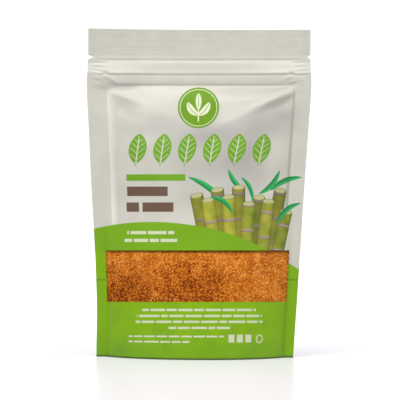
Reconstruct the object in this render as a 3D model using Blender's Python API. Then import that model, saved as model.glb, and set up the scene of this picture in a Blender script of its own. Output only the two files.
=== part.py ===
"""A filled stand-up pouch of granulated panela sugar, with a window in its front panel.

The pouch stands on the floor at z = 0 with its front panel towards -Y. Its origin is on the
floor, under the middle of its zip. A panel is laid out in film coordinates: across is the
distance from the panel's middle line along the flat film, and up is the height above the floor.
"""

import math

import bmesh
import bpy

MM = 0.001

# Driving sizes of the pouch
POUCH_WIDTH = 200 * MM
POUCH_HEIGHT = 292 * MM
SEAL_WIDTH = 8 * MM
SEAL_THICKNESS = 0.5 * MM
BASE_REACH = 37.3 * MM
ZIP_FOOT = 242.5 * MM
ZIP_HEAD = 264.5 * MM

# How the filled panels bulge. A shallow arch is longer than its chord by ARCH_STRETCH times
# its rise squared over the chord. The base stands a little to the left of the top
BELLY_TAPER = 1.44
BELLY_FULLNESS = 0.42
BELLY_START = 0.01
ARCH_POWER = 2.2
ARCH_ROUNDNESS = 0.85
ARCH_STRETCH = 8 / 3
LEAN = 1.4 * MM
CREASE_LEFT = -82.5 * MM
CREASE_RIGHT = 86 * MM
CREASE_FADE_LOW = 85 * MM
CREASE_FADE_HIGH = 150 * MM

# How far each side is drawn in low down, as height above the floor and distance
DRAW_LEFT = (
    (10 * MM, 0.0),
    (25 * MM, 0.4 * MM),
    (40 * MM, 0.95 * MM),
    (90 * MM, 0.95 * MM),
    (110 * MM, 0.6 * MM),
    (150 * MM, 0.0),
)
DRAW_RIGHT = (
    (0.0, 2.0 * MM),
    (10 * MM, 1.5 * MM),
    (20 * MM, 1.2 * MM),
    (30 * MM, 0.8 * MM),
    (45 * MM, 0.4 * MM),
    (75 * MM, 0.0),
)
DRAW_POWER = 3

# Rows of print rise in the middle of the bulge up to ROW_LEVEL, and climb a little to the right
ROW_RISE = 0.0161
ROW_LEVEL = 140 * MM
ROW_SKEW = 0.0055
ROW_FOOT = 25 * MM

# Folds that fan out under the zip's ends: start, end, and how far they stand out.
# They end at the creases
FOLD_WIDTH = 6 * MM
FOLD_CLEAR = 3 * MM
FOLDS = (
    ((-80 * MM, 236 * MM), (-30 * MM, 218 * MM), 1.3 * MM),
    ((-72 * MM, 224 * MM), (-48 * MM, 204 * MM), -0.8 * MM),
    ((84 * MM, 236 * MM), (15 * MM, 228 * MM), 1.2 * MM),
    ((84 * MM, 228 * MM), (52 * MM, 210 * MM), -1.6 * MM),
)

# The header above the zip is a little narrower, and its middle bows to the back
HEADER_TRIM = 1 * MM
HEADER_BOW = 10 * MM
BOW_START = 185 * MM

# Tear notches in the header's two ends: depth, and height above and below the tip
NOTCH_HEIGHT = 266.9 * MM
NOTCH_REACH = 2 * MM
NOTCH_LEFT = 4.8 * MM
NOTCH_RIGHT = 3 * MM

# Folded bottom: a standing rim, and ends that rise between the front and back legs
RIM_HEIGHT = 6 * MM
LEG_THICKNESS = 0.8 * MM
FOLD_HEIGHT = 42 * MM
FOLD_START = 0.55
FOLD_POWER = 2.2
LEG_POWER = 6
BASE_FLAT_START = 0.35
BASE_STEPS = (0.1, 0.2, BASE_FLAT_START, 0.65, 1.0)

# The window, its film, and the sugar that shows behind it
WINDOW_HALF = 90 * MM
WINDOW_LOW = 49.2 * MM
WINDOW_HIGH = 94.9 * MM
WINDOW_FILM = 0.4 * MM
GAP = 0.3 * MM
POCKET_DEPTH_AT_EDGE = 2.2 * MM
POCKET_DEPTH_SHARE = 0.25
CRUMB_PITCH = 2.9 * MM
CRUMB_RELIEF = 0.45 * MM

# The printed green base: its top edge falls from the left side to the right side
GREEN_LEFT = 118 * MM
GREEN_RIGHT = 77 * MM

# Relief of the zip, as height above the floor and how far it stands out of the seal
ZIP_RELIEF = (
    (242.5 * MM, 0.15 * MM),
    (245.5 * MM, 0.9 * MM),
    (249.8 * MM, 1.3 * MM),
    (251.6 * MM, 0.4 * MM),
    (253.2 * MM, 1.4 * MM),
    (256.0 * MM, 1.2 * MM),
    (262.2 * MM, 0.9 * MM),
    (264.5 * MM, 0.0),
)
ZIP_END_WIDTH = 12 * MM
ZIP_END_SHARE = 0.25

HALF_WIDTH = POUCH_WIDTH / 2
SEAL_EDGE = HALF_WIDTH - SEAL_WIDTH

INNER_COLUMNS = 25
BASE_ROWS = (0, 7, 18, 34)
WINDOW_STEPS = 4
BODY_ROWS = (107, 121, 135, 149, 163, 176, 187, 197)
SHOULDER_ROWS = (205, 212, 218, 224, 230, 235, 239)
HEADER_ROWS = (275, 284, 292)


def smooth(low, high, value):
    """A share from 0 at low to 1 at high, with soft ends."""
    share = min(1.0, max(0.0, (value - low) / (high - low)))
    return share * share * (3 - 2 * share)


def between(table, value):
    """The height of a stepped profile at value, on straight lines between its points."""
    for (low, first), (high, second) in zip(table, table[1:]):
        if low <= value <= high:
            return first + (second - first) * (value - low) / (high - low)
    return 0.0


def belly(up):
    """How far the middle of a filled panel stands out of the pouch's middle plane."""
    if up >= ZIP_FOOT:
        return 0.0
    rest = 1 - (up / ZIP_FOOT) ** BELLY_TAPER
    start = BELLY_START**BELLY_FULLNESS
    full = (1 + BELLY_START) ** BELLY_FULLNESS - start
    return BASE_REACH * ((rest + BELLY_START) ** BELLY_FULLNESS - start) / full


def seal_edge_place(up):
    """Where the side seal's inner edge stands, once the bulge has drawn the sides in."""
    film = 2 * SEAL_EDGE
    root = film * film - 4 * ARCH_STRETCH * belly(up) ** 2
    return (film + math.sqrt(root)) / 4


def arch(share):
    """The bulge across a panel: 1 at its middle and 0 at the edges, where share is -1 or 1."""
    return max(0.0, 1 - abs(share) ** ARCH_POWER) ** ARCH_ROUNDNESS


def bulge(across, up):
    """How far the film stands out at this place. High up, it stays flat outside the creases."""
    low = arch(across / SEAL_EDGE)
    middle = (CREASE_LEFT + CREASE_RIGHT) / 2
    high = arch((across - middle) / ((CREASE_RIGHT - CREASE_LEFT) / 2))
    creased = smooth(CREASE_FADE_LOW, CREASE_FADE_HIGH, up)
    return belly(up) * (low + (high - low) * creased)


def folds(across, up):
    """How far the folds under the zip's ends stand out here. Each one fades to its end."""
    out = 0.0
    for (start_across, start_up), (end_across, end_up), height in FOLDS:
        run = end_across - start_across
        rise = end_up - start_up
        length = math.hypot(run, rise)
        along = ((across - start_across) * run + (up - start_up) * rise) / length**2
        beside = ((across - start_across) * rise - (up - start_up) * run) / length
        fade = smooth(-0.1, 0.15, along) * (1 - smooth(0.3, 1.1, along))
        out += height * fade * math.exp(-((beside / FOLD_WIDTH) ** 2))
    inside = min(across - CREASE_LEFT, CREASE_RIGHT - across)
    return out * smooth(0, FOLD_CLEAR, inside)


def zip_relief(across, up):
    """How far the zip stands out. It is pressed flat towards the side seals."""
    outside = smooth(SEAL_EDGE - ZIP_END_WIDTH, SEAL_EDGE, abs(across))
    return between(ZIP_RELIEF, up) * (1 - (1 - ZIP_END_SHARE) * outside)


def notch_depth(up, deepest):
    """How far a tear notch cuts in at this height."""
    return deepest * max(0.0, 1 - abs(up - NOTCH_HEIGHT) / NOTCH_REACH)


def drawn_in(across, up):
    """How far the film is drawn in here, most at the side's edge."""
    table = DRAW_LEFT if across < 0 else DRAW_RIGHT
    share = across / HALF_WIDTH
    return between(table, up) * share**DRAW_POWER


def place_x(across, up):
    """Where a film coordinate stands between the pouch's left and right sides."""
    edge = seal_edge_place(up)
    if abs(across) <= SEAL_EDGE:
        x = edge * across / SEAL_EDGE
    else:
        x = math.copysign(edge + abs(across) - SEAL_EDGE, across)
    if abs(across) >= HALF_WIDTH:
        deepest = NOTCH_LEFT if across < 0 else NOTCH_RIGHT
        x -= math.copysign(notch_depth(up, deepest), across)
    x -= drawn_in(across, up)
    lean = LEAN * max(0.0, 1 - up / ZIP_FOOT)
    return x * (1 - HEADER_TRIM / HALF_WIDTH * smooth(ZIP_FOOT, ZIP_HEAD, up)) - lean


def bow(x, up):
    """How far the middle of the header bows to the back."""
    return HEADER_BOW * (1 - (x / HALF_WIDTH) ** 2) * smooth(BOW_START, POUCH_HEIGHT, up)


def row_height(across, up):
    """Where a row of the film stands above the floor here."""
    foot = smooth(0, ROW_FOOT, up)
    rise = ROW_RISE * max(0.0, ROW_LEVEL - up) * arch(across / SEAL_EDGE)
    skew = ROW_SKEW * across * (1 - smooth(NOTCH_HEIGHT, POUCH_HEIGHT, up))
    return up + foot * (rise + skew)


def panel_point(across, up, side, inwards=0.0):
    """A point of the front (side -1) or back (side 1) panel, or this far inside it."""
    x = place_x(across, up)
    relief = zip_relief(across, up) + folds(across, up)
    out = SEAL_THICKNESS / 2 + bulge(across, up) + relief - inwards
    return (x, side * out + bow(x, up), row_height(across, up))


def leg_height(share):
    """The height of the curved seal that joins a panel to the folded bottom."""
    return RIM_HEIGHT + (FOLD_HEIGHT - RIM_HEIGHT) * abs(share) ** LEG_POWER


def base_height(share):
    """The height of the folded bottom's middle line, which rises to both sides."""
    rise = max(0.0, (abs(share) - FOLD_START) / (1 - FOLD_START))
    return FOLD_HEIGHT * rise**FOLD_POWER


def green_height(x):
    """How high the printed green base reaches at this place."""
    return GREEN_LEFT + (GREEN_RIGHT - GREEN_LEFT) * smooth(0, HALF_WIDTH, x)


def pocket_depth(across, up):
    """How deep the space behind the window is, measured from the pouch's face."""
    return POCKET_DEPTH_AT_EDGE + POCKET_DEPTH_SHARE * bulge(across, up)


class Skin:
    """The points and faces of one closed mesh."""

    def __init__(self):
        self.points = []
        self.faces = []

    def point(self, place):
        """Adds a point and returns its number."""
        self.points.append(place)
        return len(self.points) - 1

    def grid(self, places):
        """Adds a grid of points and returns their numbers, column by column."""
        return [[self.point(place) for place in column] for column in places]

    def strip(self, first, second):
        """Joins two equally long runs of points with quads."""
        for a, b, c, d in zip(first, second, second[1:], first[1:]):
            self.faces.append((a, b, c, d))

    def to_object(self, name, material):
        """Makes the object, with its faces pointing outwards."""
        mesh = bpy.data.meshes.new(name)
        shape = bmesh.new()
        corners = [shape.verts.new(place) for place in self.points]
        for face in self.faces:
            shape.faces.new([corners[number] for number in face])
        loose = [corner for corner in corners if not corner.link_faces]
        bmesh.ops.delete(shape, geom=loose, context="VERTS")
        bmesh.ops.recalc_face_normals(shape, faces=shape.faces)
        shape.to_mesh(mesh)
        shape.free()
        mesh.shade_smooth()
        mesh.set_sharp_from_angle(angle=math.radians(35))
        mesh.materials.append(material)
        made = bpy.data.objects.new(name, mesh)
        bpy.context.scene.collection.objects.link(made)
        return made


def material(name, colour, roughness, alpha=1.0):
    """A Principled material for one sub-part."""
    made = bpy.data.materials.new(name)
    made.use_nodes = True
    shader = made.node_tree.nodes["Principled BSDF"]
    shader.inputs["Base Color"].default_value = (*colour, 1)
    shader.inputs["Roughness"].default_value = roughness
    shader.inputs["Metallic"].default_value = 0.0
    shader.inputs["Alpha"].default_value = alpha
    made.diffuse_color = (*colour, alpha)
    return made


def film_columns():
    """Film coordinates across a panel, from its left edge to its right edge."""
    inner = [
        CREASE_LEFT + (CREASE_RIGHT - CREASE_LEFT) * step / (INNER_COLUMNS + 1)
        for step in range(1, INNER_COLUMNS + 1)
    ]
    left = [-HALF_WIDTH, -SEAL_EDGE, -WINDOW_HALF, CREASE_LEFT]
    right = [CREASE_RIGHT, WINDOW_HALF, SEAL_EDGE, HALF_WIDTH]
    return left + inner + right


def film_rows():
    """Heights of a panel's rows, from the floor to the top edge."""
    base = [row * MM for row in BASE_ROWS]
    step = (WINDOW_HIGH - WINDOW_LOW) / WINDOW_STEPS
    window = [WINDOW_LOW + step * number for number in range(WINDOW_STEPS)] + [WINDOW_HIGH]
    body = [row * MM for row in BODY_ROWS + SHOULDER_ROWS]
    zip_rows = [row for row, _ in ZIP_RELIEF]
    notch = [NOTCH_HEIGHT + NOTCH_REACH * step for step in (-1, 0, 1)]
    header = [row * MM for row in HEADER_ROWS]
    return base + window + body + zip_rows + notch + header


def add_folded_bottom(skin, columns, front, back):
    """Closes the pouch underneath with its standing rim, legs and folded bottom."""
    left_end = columns.index(-SEAL_EDGE)
    right_end = columns.index(SEAL_EDGE)
    sections = []
    for number in range(left_end + 1, right_end):
        across = columns[number]
        share = across / SEAL_EDGE
        leg = leg_height(share)
        base = base_height(share)
        halves = []
        for side in (-1, 1):
            foot = panel_point(across, 0, side, LEG_THICKNESS)
            head = panel_point(across, leg, side, LEG_THICKNESS)
            half = [foot, head]
            for step in BASE_STEPS:
                drop = max(0.0, 1 - step / BASE_FLAT_START) ** 2
                height = base + (leg - base) * drop
                half.append((head[0], head[1] * (1 - step), height))
            halves.append(half)
        places = halves[0] + halves[1][-2::-1]
        inner = [skin.point(place) for place in places]
        sections.append([front[number][0], *inner, back[number][0]])
    for first, second in zip(sections, sections[1:]):
        skin.strip(first, second)

    for outer, end, section in ((0, left_end, sections[0]), (-1, right_end, sections[-1])):
        foot = skin.point((place_x(columns[end], 0), 0, 0))
        fold = skin.point((place_x(columns[end], FOLD_HEIGHT), 0, FOLD_HEIGHT))
        skin.faces.append(
            (front[outer][0], front[end][0], foot, back[end][0], back[outer][0])
        )
        skin.faces.append((front[end][0], section[0], section[1], foot))
        skin.faces.append((foot, section[1], section[2], fold))
        for first, second in zip(section[2:-2], section[3:-2]):
            skin.faces.append((fold, first, second))
        skin.faces.append((foot, fold, section[-3], section[-2]))
        skin.faces.append((foot, section[-2], section[-1], back[end][0]))


def build_pouch(cream_film, green_film):
    """The pouch: both panels, side seals, zip, header and folded bottom, with its contents.

    The front panel has a pocket for the window and the sugar behind it.
    """
    columns = film_columns()
    rows = film_rows()
    skin = Skin()
    front = skin.grid([[panel_point(a, up, -1) for up in rows] for a in columns])
    back = skin.grid([[panel_point(a, up, 1) for up in rows] for a in columns])
    window = range(columns.index(-WINDOW_HALF), columns.index(WINDOW_HALF) + 1)
    low, high = rows.index(WINDOW_LOW), rows.index(WINDOW_HIGH)

    for number, (first, second) in enumerate(zip(front, front[1:])):
        if number in window[:-1]:
            skin.strip(first[: low + 1], second[: low + 1])
            skin.strip(first[high:], second[high:])
        else:
            skin.strip(first, second)
    for first, second in zip(back, back[1:]):
        skin.strip(first, second)
    skin.strip(front[0], back[0])
    skin.strip(front[-1], back[-1])
    skin.strip([column[-1] for column in front], [column[-1] for column in back])

    floor = skin.grid(
        [
            [panel_point(columns[n], up, -1, pocket_depth(columns[n], up)) for up in rows[low : high + 1]]
            for n in window
        ]
    )
    for first, second in zip(floor, floor[1:]):
        skin.strip(first, second)
    skin.strip(floor[0], front[window[0]][low : high + 1])
    skin.strip(floor[-1], front[window[-1]][low : high + 1])
    skin.strip([column[0] for column in floor], [front[n][low] for n in window])
    skin.strip([column[-1] for column in floor], [front[n][high] for n in window])

    add_folded_bottom(skin, columns, front, back)
    pouch = skin.to_object("pouch", cream_film)
    pouch.data.materials.append(green_film)
    for face in pouch.data.polygons:
        face.material_index = int(face.center.z < green_height(face.center.x))
    return pouch


def window_grid(pitch_across, pitch_up):
    """Film coordinates of a grid over the window, a gap clear of its frame."""
    half = WINDOW_HALF - 1.3 * GAP
    low, high = WINDOW_LOW + GAP, WINDOW_HIGH - GAP
    across_steps = round(2 * half / pitch_across)
    up_steps = round((high - low) / pitch_up)
    across = [-half + 2 * half * step / across_steps for step in range(across_steps + 1)]
    up = [low + (high - low) * step / up_steps for step in range(up_steps + 1)]
    return across, up


def build_window_film(clear_film):
    """The clear part of the front film, flush with the printed film round it."""
    across_all, up_all = window_grid(9 * MM, 12 * MM)
    skin = Skin()
    outer = skin.grid([[panel_point(a, up, -1) for up in up_all] for a in across_all])
    inner = skin.grid(
        [[panel_point(a, up, -1, WINDOW_FILM) for up in up_all] for a in across_all]
    )
    for sheet in (outer, inner):
        for first, second in zip(sheet, sheet[1:]):
            skin.strip(first, second)
    skin.strip(outer[0], inner[0])
    skin.strip(outer[-1], inner[-1])
    skin.strip([column[0] for column in outer], [column[0] for column in inner])
    skin.strip([column[-1] for column in outer], [column[-1] for column in inner])
    return skin.to_object("window_film", clear_film)


def crumb_relief(column, row):
    """How far the sugar lies behind the film here: an uneven bed of crumbs."""
    wave = math.sin(12.9898 * column + 78.233 * row) * 43758.5453
    return CRUMB_RELIEF * (wave - math.floor(wave))


def build_sugar(sugar):
    """The granulated sugar that fills the pocket and lies against the window film."""
    across_all, up_all = window_grid(CRUMB_PITCH, CRUMB_PITCH)
    skin = Skin()
    face_places = []
    for column, across in enumerate(across_all):
        places = []
        for row, up in enumerate(up_all):
            behind = WINDOW_FILM + GAP + crumb_relief(column, row)
            places.append(panel_point(across, up, -1, behind))
        face_places.append(places)
    face = skin.grid(face_places)
    for first, second in zip(face, face[1:]):
        skin.strip(first, second)

    behind = []
    for across in across_all:
        ends = [
            panel_point(across, up, -1, pocket_depth(across, up) - GAP)
            for up in (up_all[0], up_all[-1])
        ]
        behind.append([skin.point(place) for place in ends])
    for first, second in zip(behind, behind[1:]):
        skin.strip(first, second)
    skin.strip([column[0] for column in face], [ends[0] for ends in behind])
    skin.strip([column[-1] for column in face], [ends[1] for ends in behind])
    skin.faces.append((*face[0], *reversed(behind[0])))
    skin.faces.append((*face[-1], *reversed(behind[-1])))
    return skin.to_object("panela_sugar", sugar)


def main():
    """Clears the scene and builds the pouch, the window film and the sugar."""
    for old in list(bpy.data.objects):
        bpy.data.objects.remove(old)
    cream_film = material("cream_film", (0.66, 0.64, 0.57), 0.42)
    green_film = material("green_film", (0.22, 0.43, 0.03), 0.42)
    clear_film = material("clear_film", (0.9, 0.9, 0.88), 0.12, alpha=0.2)
    sugar = material("sugar", (0.47, 0.17, 0.03), 0.75)
    build_pouch(cream_film, green_film)
    build_window_film(clear_film)
    build_sugar(sugar)


main()
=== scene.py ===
"""The looks of a filled stand-up pouch of granulated panela sugar.

The pouch stands at z = 0 with its front panel towards -Y. Both panels are laid out in film
coordinates: across is the distance from the panel's middle line along the flat film, and up is
the height above the floor. Sizes are in metres, and those of the print, the folds and the dents
in millimetres.
"""

import logging
import math
from dataclasses import dataclass, field
from enum import Enum
from typing import Optional, Sequence, Union

import bpy
import numpy as np
from bpy.types import Material, Node, NodeSocket, NodeTree, Object
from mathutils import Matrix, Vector

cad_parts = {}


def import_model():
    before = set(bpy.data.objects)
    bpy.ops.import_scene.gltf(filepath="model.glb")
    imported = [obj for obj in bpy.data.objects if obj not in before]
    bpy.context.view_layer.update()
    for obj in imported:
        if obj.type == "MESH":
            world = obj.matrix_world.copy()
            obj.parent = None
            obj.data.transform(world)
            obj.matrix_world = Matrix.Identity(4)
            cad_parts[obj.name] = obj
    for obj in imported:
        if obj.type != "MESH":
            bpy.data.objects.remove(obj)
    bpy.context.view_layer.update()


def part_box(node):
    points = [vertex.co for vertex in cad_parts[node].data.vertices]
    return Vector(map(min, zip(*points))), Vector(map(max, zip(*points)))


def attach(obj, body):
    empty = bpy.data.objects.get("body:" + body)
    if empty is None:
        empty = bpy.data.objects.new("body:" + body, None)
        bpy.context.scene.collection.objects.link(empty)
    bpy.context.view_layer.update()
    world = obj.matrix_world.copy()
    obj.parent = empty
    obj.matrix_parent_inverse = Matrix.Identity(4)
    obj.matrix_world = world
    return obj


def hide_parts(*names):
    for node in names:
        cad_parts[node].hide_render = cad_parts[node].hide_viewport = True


MM = 0.001
FILM_MAP = "film"
FILM_MAP_SIZE = 0.3
SHADE = "shade"
COARSE = "coarse"

Array = np.ndarray
Colour = tuple[float, float, float]
Place = tuple[float, float]
Box = tuple[float, float, float, float]

log = logging.getLogger("sugar_pouch")


class Side(Enum):
    """Which panel of the pouch is meant."""

    FRONT = -1
    BACK = 1


def smooth(low: float, high: float, value: Array) -> Array:
    """Gives a share from 0 at low to 1 at high, with soft ends."""
    share = np.clip((value - low) / (high - low), 0.0, 1.0)
    return share * share * (3 - 2 * share)


def spaced(*stops: Place) -> Array:
    """Places lines between stops, no further apart than each stop's pitch.

    Args:
        stops: Each stop's place, and the pitch up to the next one.

    Returns:
        The places of all lines, rising.
    """
    places = [stops[0][0]]
    for (start, pitch), (end, _) in zip(stops, stops[1:]):
        steps = max(1, math.ceil((end - start) / pitch - 1e-6))
        places.extend(start + (end - start) * step / steps for step in range(1, steps + 1))
    return np.array(places)


def grid(half: float, low: float, high: float, pitch: Place) -> list[Array]:
    """Gives the film coordinates of an even grid's points, with its greatest pitch across and up."""
    columns, rows = spaced((-half, pitch[0]), (half, 1)), spaced((low, pitch[1]), (high, 1))
    return np.meshgrid(columns, rows, indexing="ij")


@dataclass(frozen=True)
class Fold:
    """A long ridge or trough pressed into the film, in millimetres."""

    start: Place
    end: Place
    height: float
    width: float = 6.0
    fade_start: float = 0.3

    def relief(self, across: Array, up: Array) -> Array:
        """Works out how far the fold stands out.

        Args:
            across: Film coordinates across the panel.
            up: Heights on the panel.

        Returns:
            The relief at each place, in metres.
        """
        start, end = np.array([self.start, self.end]) * MM
        run, rise = end - start
        length = math.hypot(run, rise)
        wide, tall = across - start[0], up - start[1]
        along = (wide * run + tall * rise) / length**2
        beside = (wide * rise - tall * run) / length
        fade = smooth(-0.1, 0.15, along) * (1 - smooth(self.fade_start, 1.1, along))
        return self.height * MM * fade * np.exp(-((beside / (self.width * MM)) ** 2))


@dataclass(frozen=True)
class Dent:
    """A soft oval hollow or swelling in the film, in millimetres."""

    middle: Place
    reach: Place
    height: float

    def share(self, across: Array, up: Array) -> Array:
        """Gives 1 in the oval's middle, falling to 0 outside its reach."""
        wide = (across - self.middle[0] * MM) / (self.reach[0] * MM)
        tall = (up - self.middle[1] * MM) / (self.reach[1] * MM)
        return np.exp(-(wide**2 + tall**2))

    def relief(self, across: Array, up: Array) -> Array:
        """The hollow's relief at each place, in metres."""
        return self.height * MM * self.share(across, up)


@dataclass(frozen=True)
class Sway:
    """Slow waves of the whole film, from a fixed seed."""

    seed: int
    count: int = 9
    shortest: float = 22 * MM
    longest: float = 60 * MM
    height: float = 0.13 * MM

    def relief(self, across: Array, up: Array) -> Array:
        """Adds up the waves.

        Args:
            across: Film coordinates across the panel.
            up: Heights on the panel.

        Returns:
            The relief at each place.
        """
        chance = np.random.default_rng(self.seed)
        total = np.zeros(np.broadcast(across, up).shape)
        for _ in range(self.count):
            heading = chance.uniform(0, math.pi)
            turn = 2 * math.pi / chance.uniform(self.shortest, self.longest)
            start = chance.uniform(0, 2 * math.pi)
            along = across * math.cos(heading) + up * math.sin(heading)
            total += self.height * np.cos(along * turn + start)
        return total


@dataclass(frozen=True)
class PouchForm:
    """The filled pouch's shape. Each size has the value that the solids were built with.

    The tables of places give millimetres: a height and how far the film is drawn in or stands out there.
    """

    width: float = 200 * MM
    height: float = 292 * MM
    seal_width: float = 8 * MM
    seal_thickness: float = 0.5 * MM
    base_reach: float = 37.3 * MM
    zip_foot: float = 242.5 * MM
    zip_head: float = 264.5 * MM
    belly_taper: float = 1.44
    belly_fullness: float = 0.42
    belly_start: float = 0.01
    shoulder_drop: float = 1.3 * MM
    arch_power: float = 2.2
    arch_roundness: float = 0.85
    arch_stretch: float = 8 / 3
    lean: float = 1.4 * MM
    crease_left: float = -82.5 * MM
    crease_right: float = 86 * MM
    crease_fade: Place = (85 * MM, 150 * MM)
    edge_softness: float = 2.2 * MM
    row_rise: float = 0.0161
    row_level: float = 140 * MM
    row_skew: float = 0.0055
    row_foot: float = 25 * MM
    draw_power: int = 3
    draw_left: tuple[Place, ...] = ((10, 0), (25, 0.4), (40, 0.95), (90, 0.95), (110, 0.6), (150, 0))
    draw_right: tuple[Place, ...] = ((0, 2.0), (10, 1.5), (20, 1.2), (30, 0.8), (45, 0.4), (75, 0))
    header_trim: float = 1 * MM
    header_bow: float = 10 * MM
    bow_start: float = 185 * MM
    notch_height: float = 266.9 * MM
    notch_reach: float = 2 * MM
    notch_left: float = 4.8 * MM
    notch_right: float = 3 * MM
    rim_height: float = 6 * MM
    fold_height: float = 42 * MM
    fold_start: float = 0.55
    fold_power: float = 2.2
    leg_power: float = 6.0
    base_flat_start: float = 0.35
    window_half: float = 90 * MM
    window_low: float = 49.2 * MM
    window_high: float = 94.9 * MM
    film: float = 0.15 * MM
    zip_end_width: float = 12 * MM
    zip_end_share: float = 0.25
    zip_flat_end: float = 97 * MM
    zip_blur: float = 0.3 * MM
    zip_profile: tuple[Place, ...] = (
        (239.6, 0.0), (241.2, 0.02), (242.3, 0.1), (243.3, 0.52), (244.3, 0.86), (245.5, 1.12),
        (247.0, 1.32), (248.8, 1.45), (250.0, 1.46), (250.8, 1.36), (251.4, 1.3), (252.3, 1.62),
        (253.8, 1.62), (255.6, 1.3), (257.4, 1.18), (260.0, 1.1), (261.4, 0.98), (262.4, 0.76),
        (263.2, 0.46), (264.0, 0.14), (264.6, 0.1), (265.6, 0.34), (266.6, 0.38), (290.0, 0.0),
    )

    @property
    def half(self) -> float:
        """Half the width of the flat film."""
        return self.width / 2

    @property
    def seal_edge(self) -> float:
        """Film coordinate of the side seal's inner edge."""
        return self.half - self.seal_width

    def belly(self, up: Array) -> Array:
        """Works out how far the middle of a filled panel stands out.

        Args:
            up: Heights on the panel.

        Returns:
            The distance from the pouch's middle plane at each height.
        """
        head = self.zip_foot - self.shoulder_drop
        rest = 1 - (np.clip(up, 0, head) / head) ** self.belly_taper
        start = self.belly_start**self.belly_fullness
        full = (1 + self.belly_start) ** self.belly_fullness - start
        return self.base_reach * ((rest + self.belly_start) ** self.belly_fullness - start) / full

    def arch(self, share: Array) -> Array:
        """The bulge across a panel: 1 in the middle, 0 at the edges, where the share is -1 and 1."""
        return np.maximum(0.0, 1 - np.abs(share) ** self.arch_power) ** self.arch_roundness

    def bulge(self, across: Array, up: Array) -> Array:
        """Works out how far the filled panel stands out.

        Args:
            across: Film coordinates across the panel.
            up: Heights on the panel.

        Returns:
            The bulge at each place.
        """
        low = self.arch(across / self.seal_edge)
        middle = (self.crease_left + self.crease_right) / 2
        high = self.arch((across - middle) / ((self.crease_right - self.crease_left) / 2))
        creased = smooth(*self.crease_fade, up)
        full = self.belly(up) * (low + (high - low) * creased)
        soft = self.edge_softness * (1 - creased) + 0.01 * MM
        return full * (1 - np.exp(-full / soft))

    def zip_relief(self, across: Array, up: Array) -> Array:
        """Works out how far the zip stands out. It is pressed flat in the side seals.

        Args:
            across: Film coordinates across the panel.
            up: Heights on the panel.

        Returns:
            The zip's relief at each place.
        """
        heights, reliefs = np.array(self.zip_profile).T * MM
        shifts = np.linspace(-self.zip_blur, self.zip_blur, 5)
        profile = sum(np.interp(up + shift, heights, reliefs, 0, 0) for shift in shifts) / len(shifts)
        outside = smooth(self.seal_edge - self.zip_end_width, self.seal_edge, np.abs(across))
        pressed = 1 - smooth(self.seal_edge, self.zip_flat_end, np.abs(across))
        return profile * (1 - (1 - self.zip_end_share) * outside) * pressed

    def drawn_in(self, across: Array, up: Array) -> Array:
        """How far the film is drawn in low down, to the right on the right side, most at its edge."""
        left, right = (np.interp(up, *np.array(table).T * MM) for table in (self.draw_left, self.draw_right))
        return np.where(across < 0, left, right) * (across / self.half) ** self.draw_power

    def place_x(self, across: Array, up: Array) -> Array:
        """Works out where a film coordinate stands between left and right.

        Args:
            across: Film coordinates across the panel.
            up: Heights on the panel.

        Returns:
            The x of each place.
        """
        film = 2 * self.seal_edge
        root = film * film - 4 * self.arch_stretch * self.belly(up) ** 2
        edge = (film + np.sqrt(root)) / 4
        cut = np.maximum(0.0, 1 - np.abs(up - self.notch_height) / self.notch_reach)
        deepest = np.where(across < 0, self.notch_left, self.notch_right)
        kept = 1 - deepest * cut / self.seal_width
        sealed = np.sign(across) * (edge + (np.abs(across) - self.seal_edge) * kept)
        x = np.where(np.abs(across) <= self.seal_edge, edge * across / self.seal_edge, sealed)
        x = x - self.drawn_in(across, up)
        trim = self.header_trim / self.half * smooth(self.zip_foot, self.zip_head, up)
        return x * (1 - trim) - self.lean * np.maximum(0.0, 1 - up / self.zip_foot)

    def bow(self, x: Array, up: Array) -> Array:
        """How far the header bows to the back, in both panels alike."""
        return self.header_bow * (1 - (x / self.half) ** 2) * smooth(self.bow_start, self.height, up)

    def row_height(self, across: Array, up: Array) -> Array:
        """Works out where a row of the film stands above the floor.

        Args:
            across: Film coordinates across the panel.
            up: Heights on the flat film.

        Returns:
            The z of each place.
        """
        level = np.maximum(0.0, self.row_level - up)
        rise = self.row_rise * level * self.arch(across / self.seal_edge)
        skew = self.row_skew * across * (1 - smooth(self.notch_height, self.height, up))
        return up + smooth(0, self.row_foot, up) * (rise + skew)

    def leg_height(self, share: Array) -> Array:
        """The height of the curved seal that joins a panel to the folded bottom."""
        return self.rim_height + (self.fold_height - self.rim_height) * np.abs(share) ** self.leg_power

    def base_height(self, share: Array) -> Array:
        """The height of the folded bottom's middle line, which rises to both sides."""
        rise = np.maximum(0.0, (np.abs(share) - self.fold_start) / (1 - self.fold_start))
        return self.fold_height * rise**self.fold_power


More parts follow.
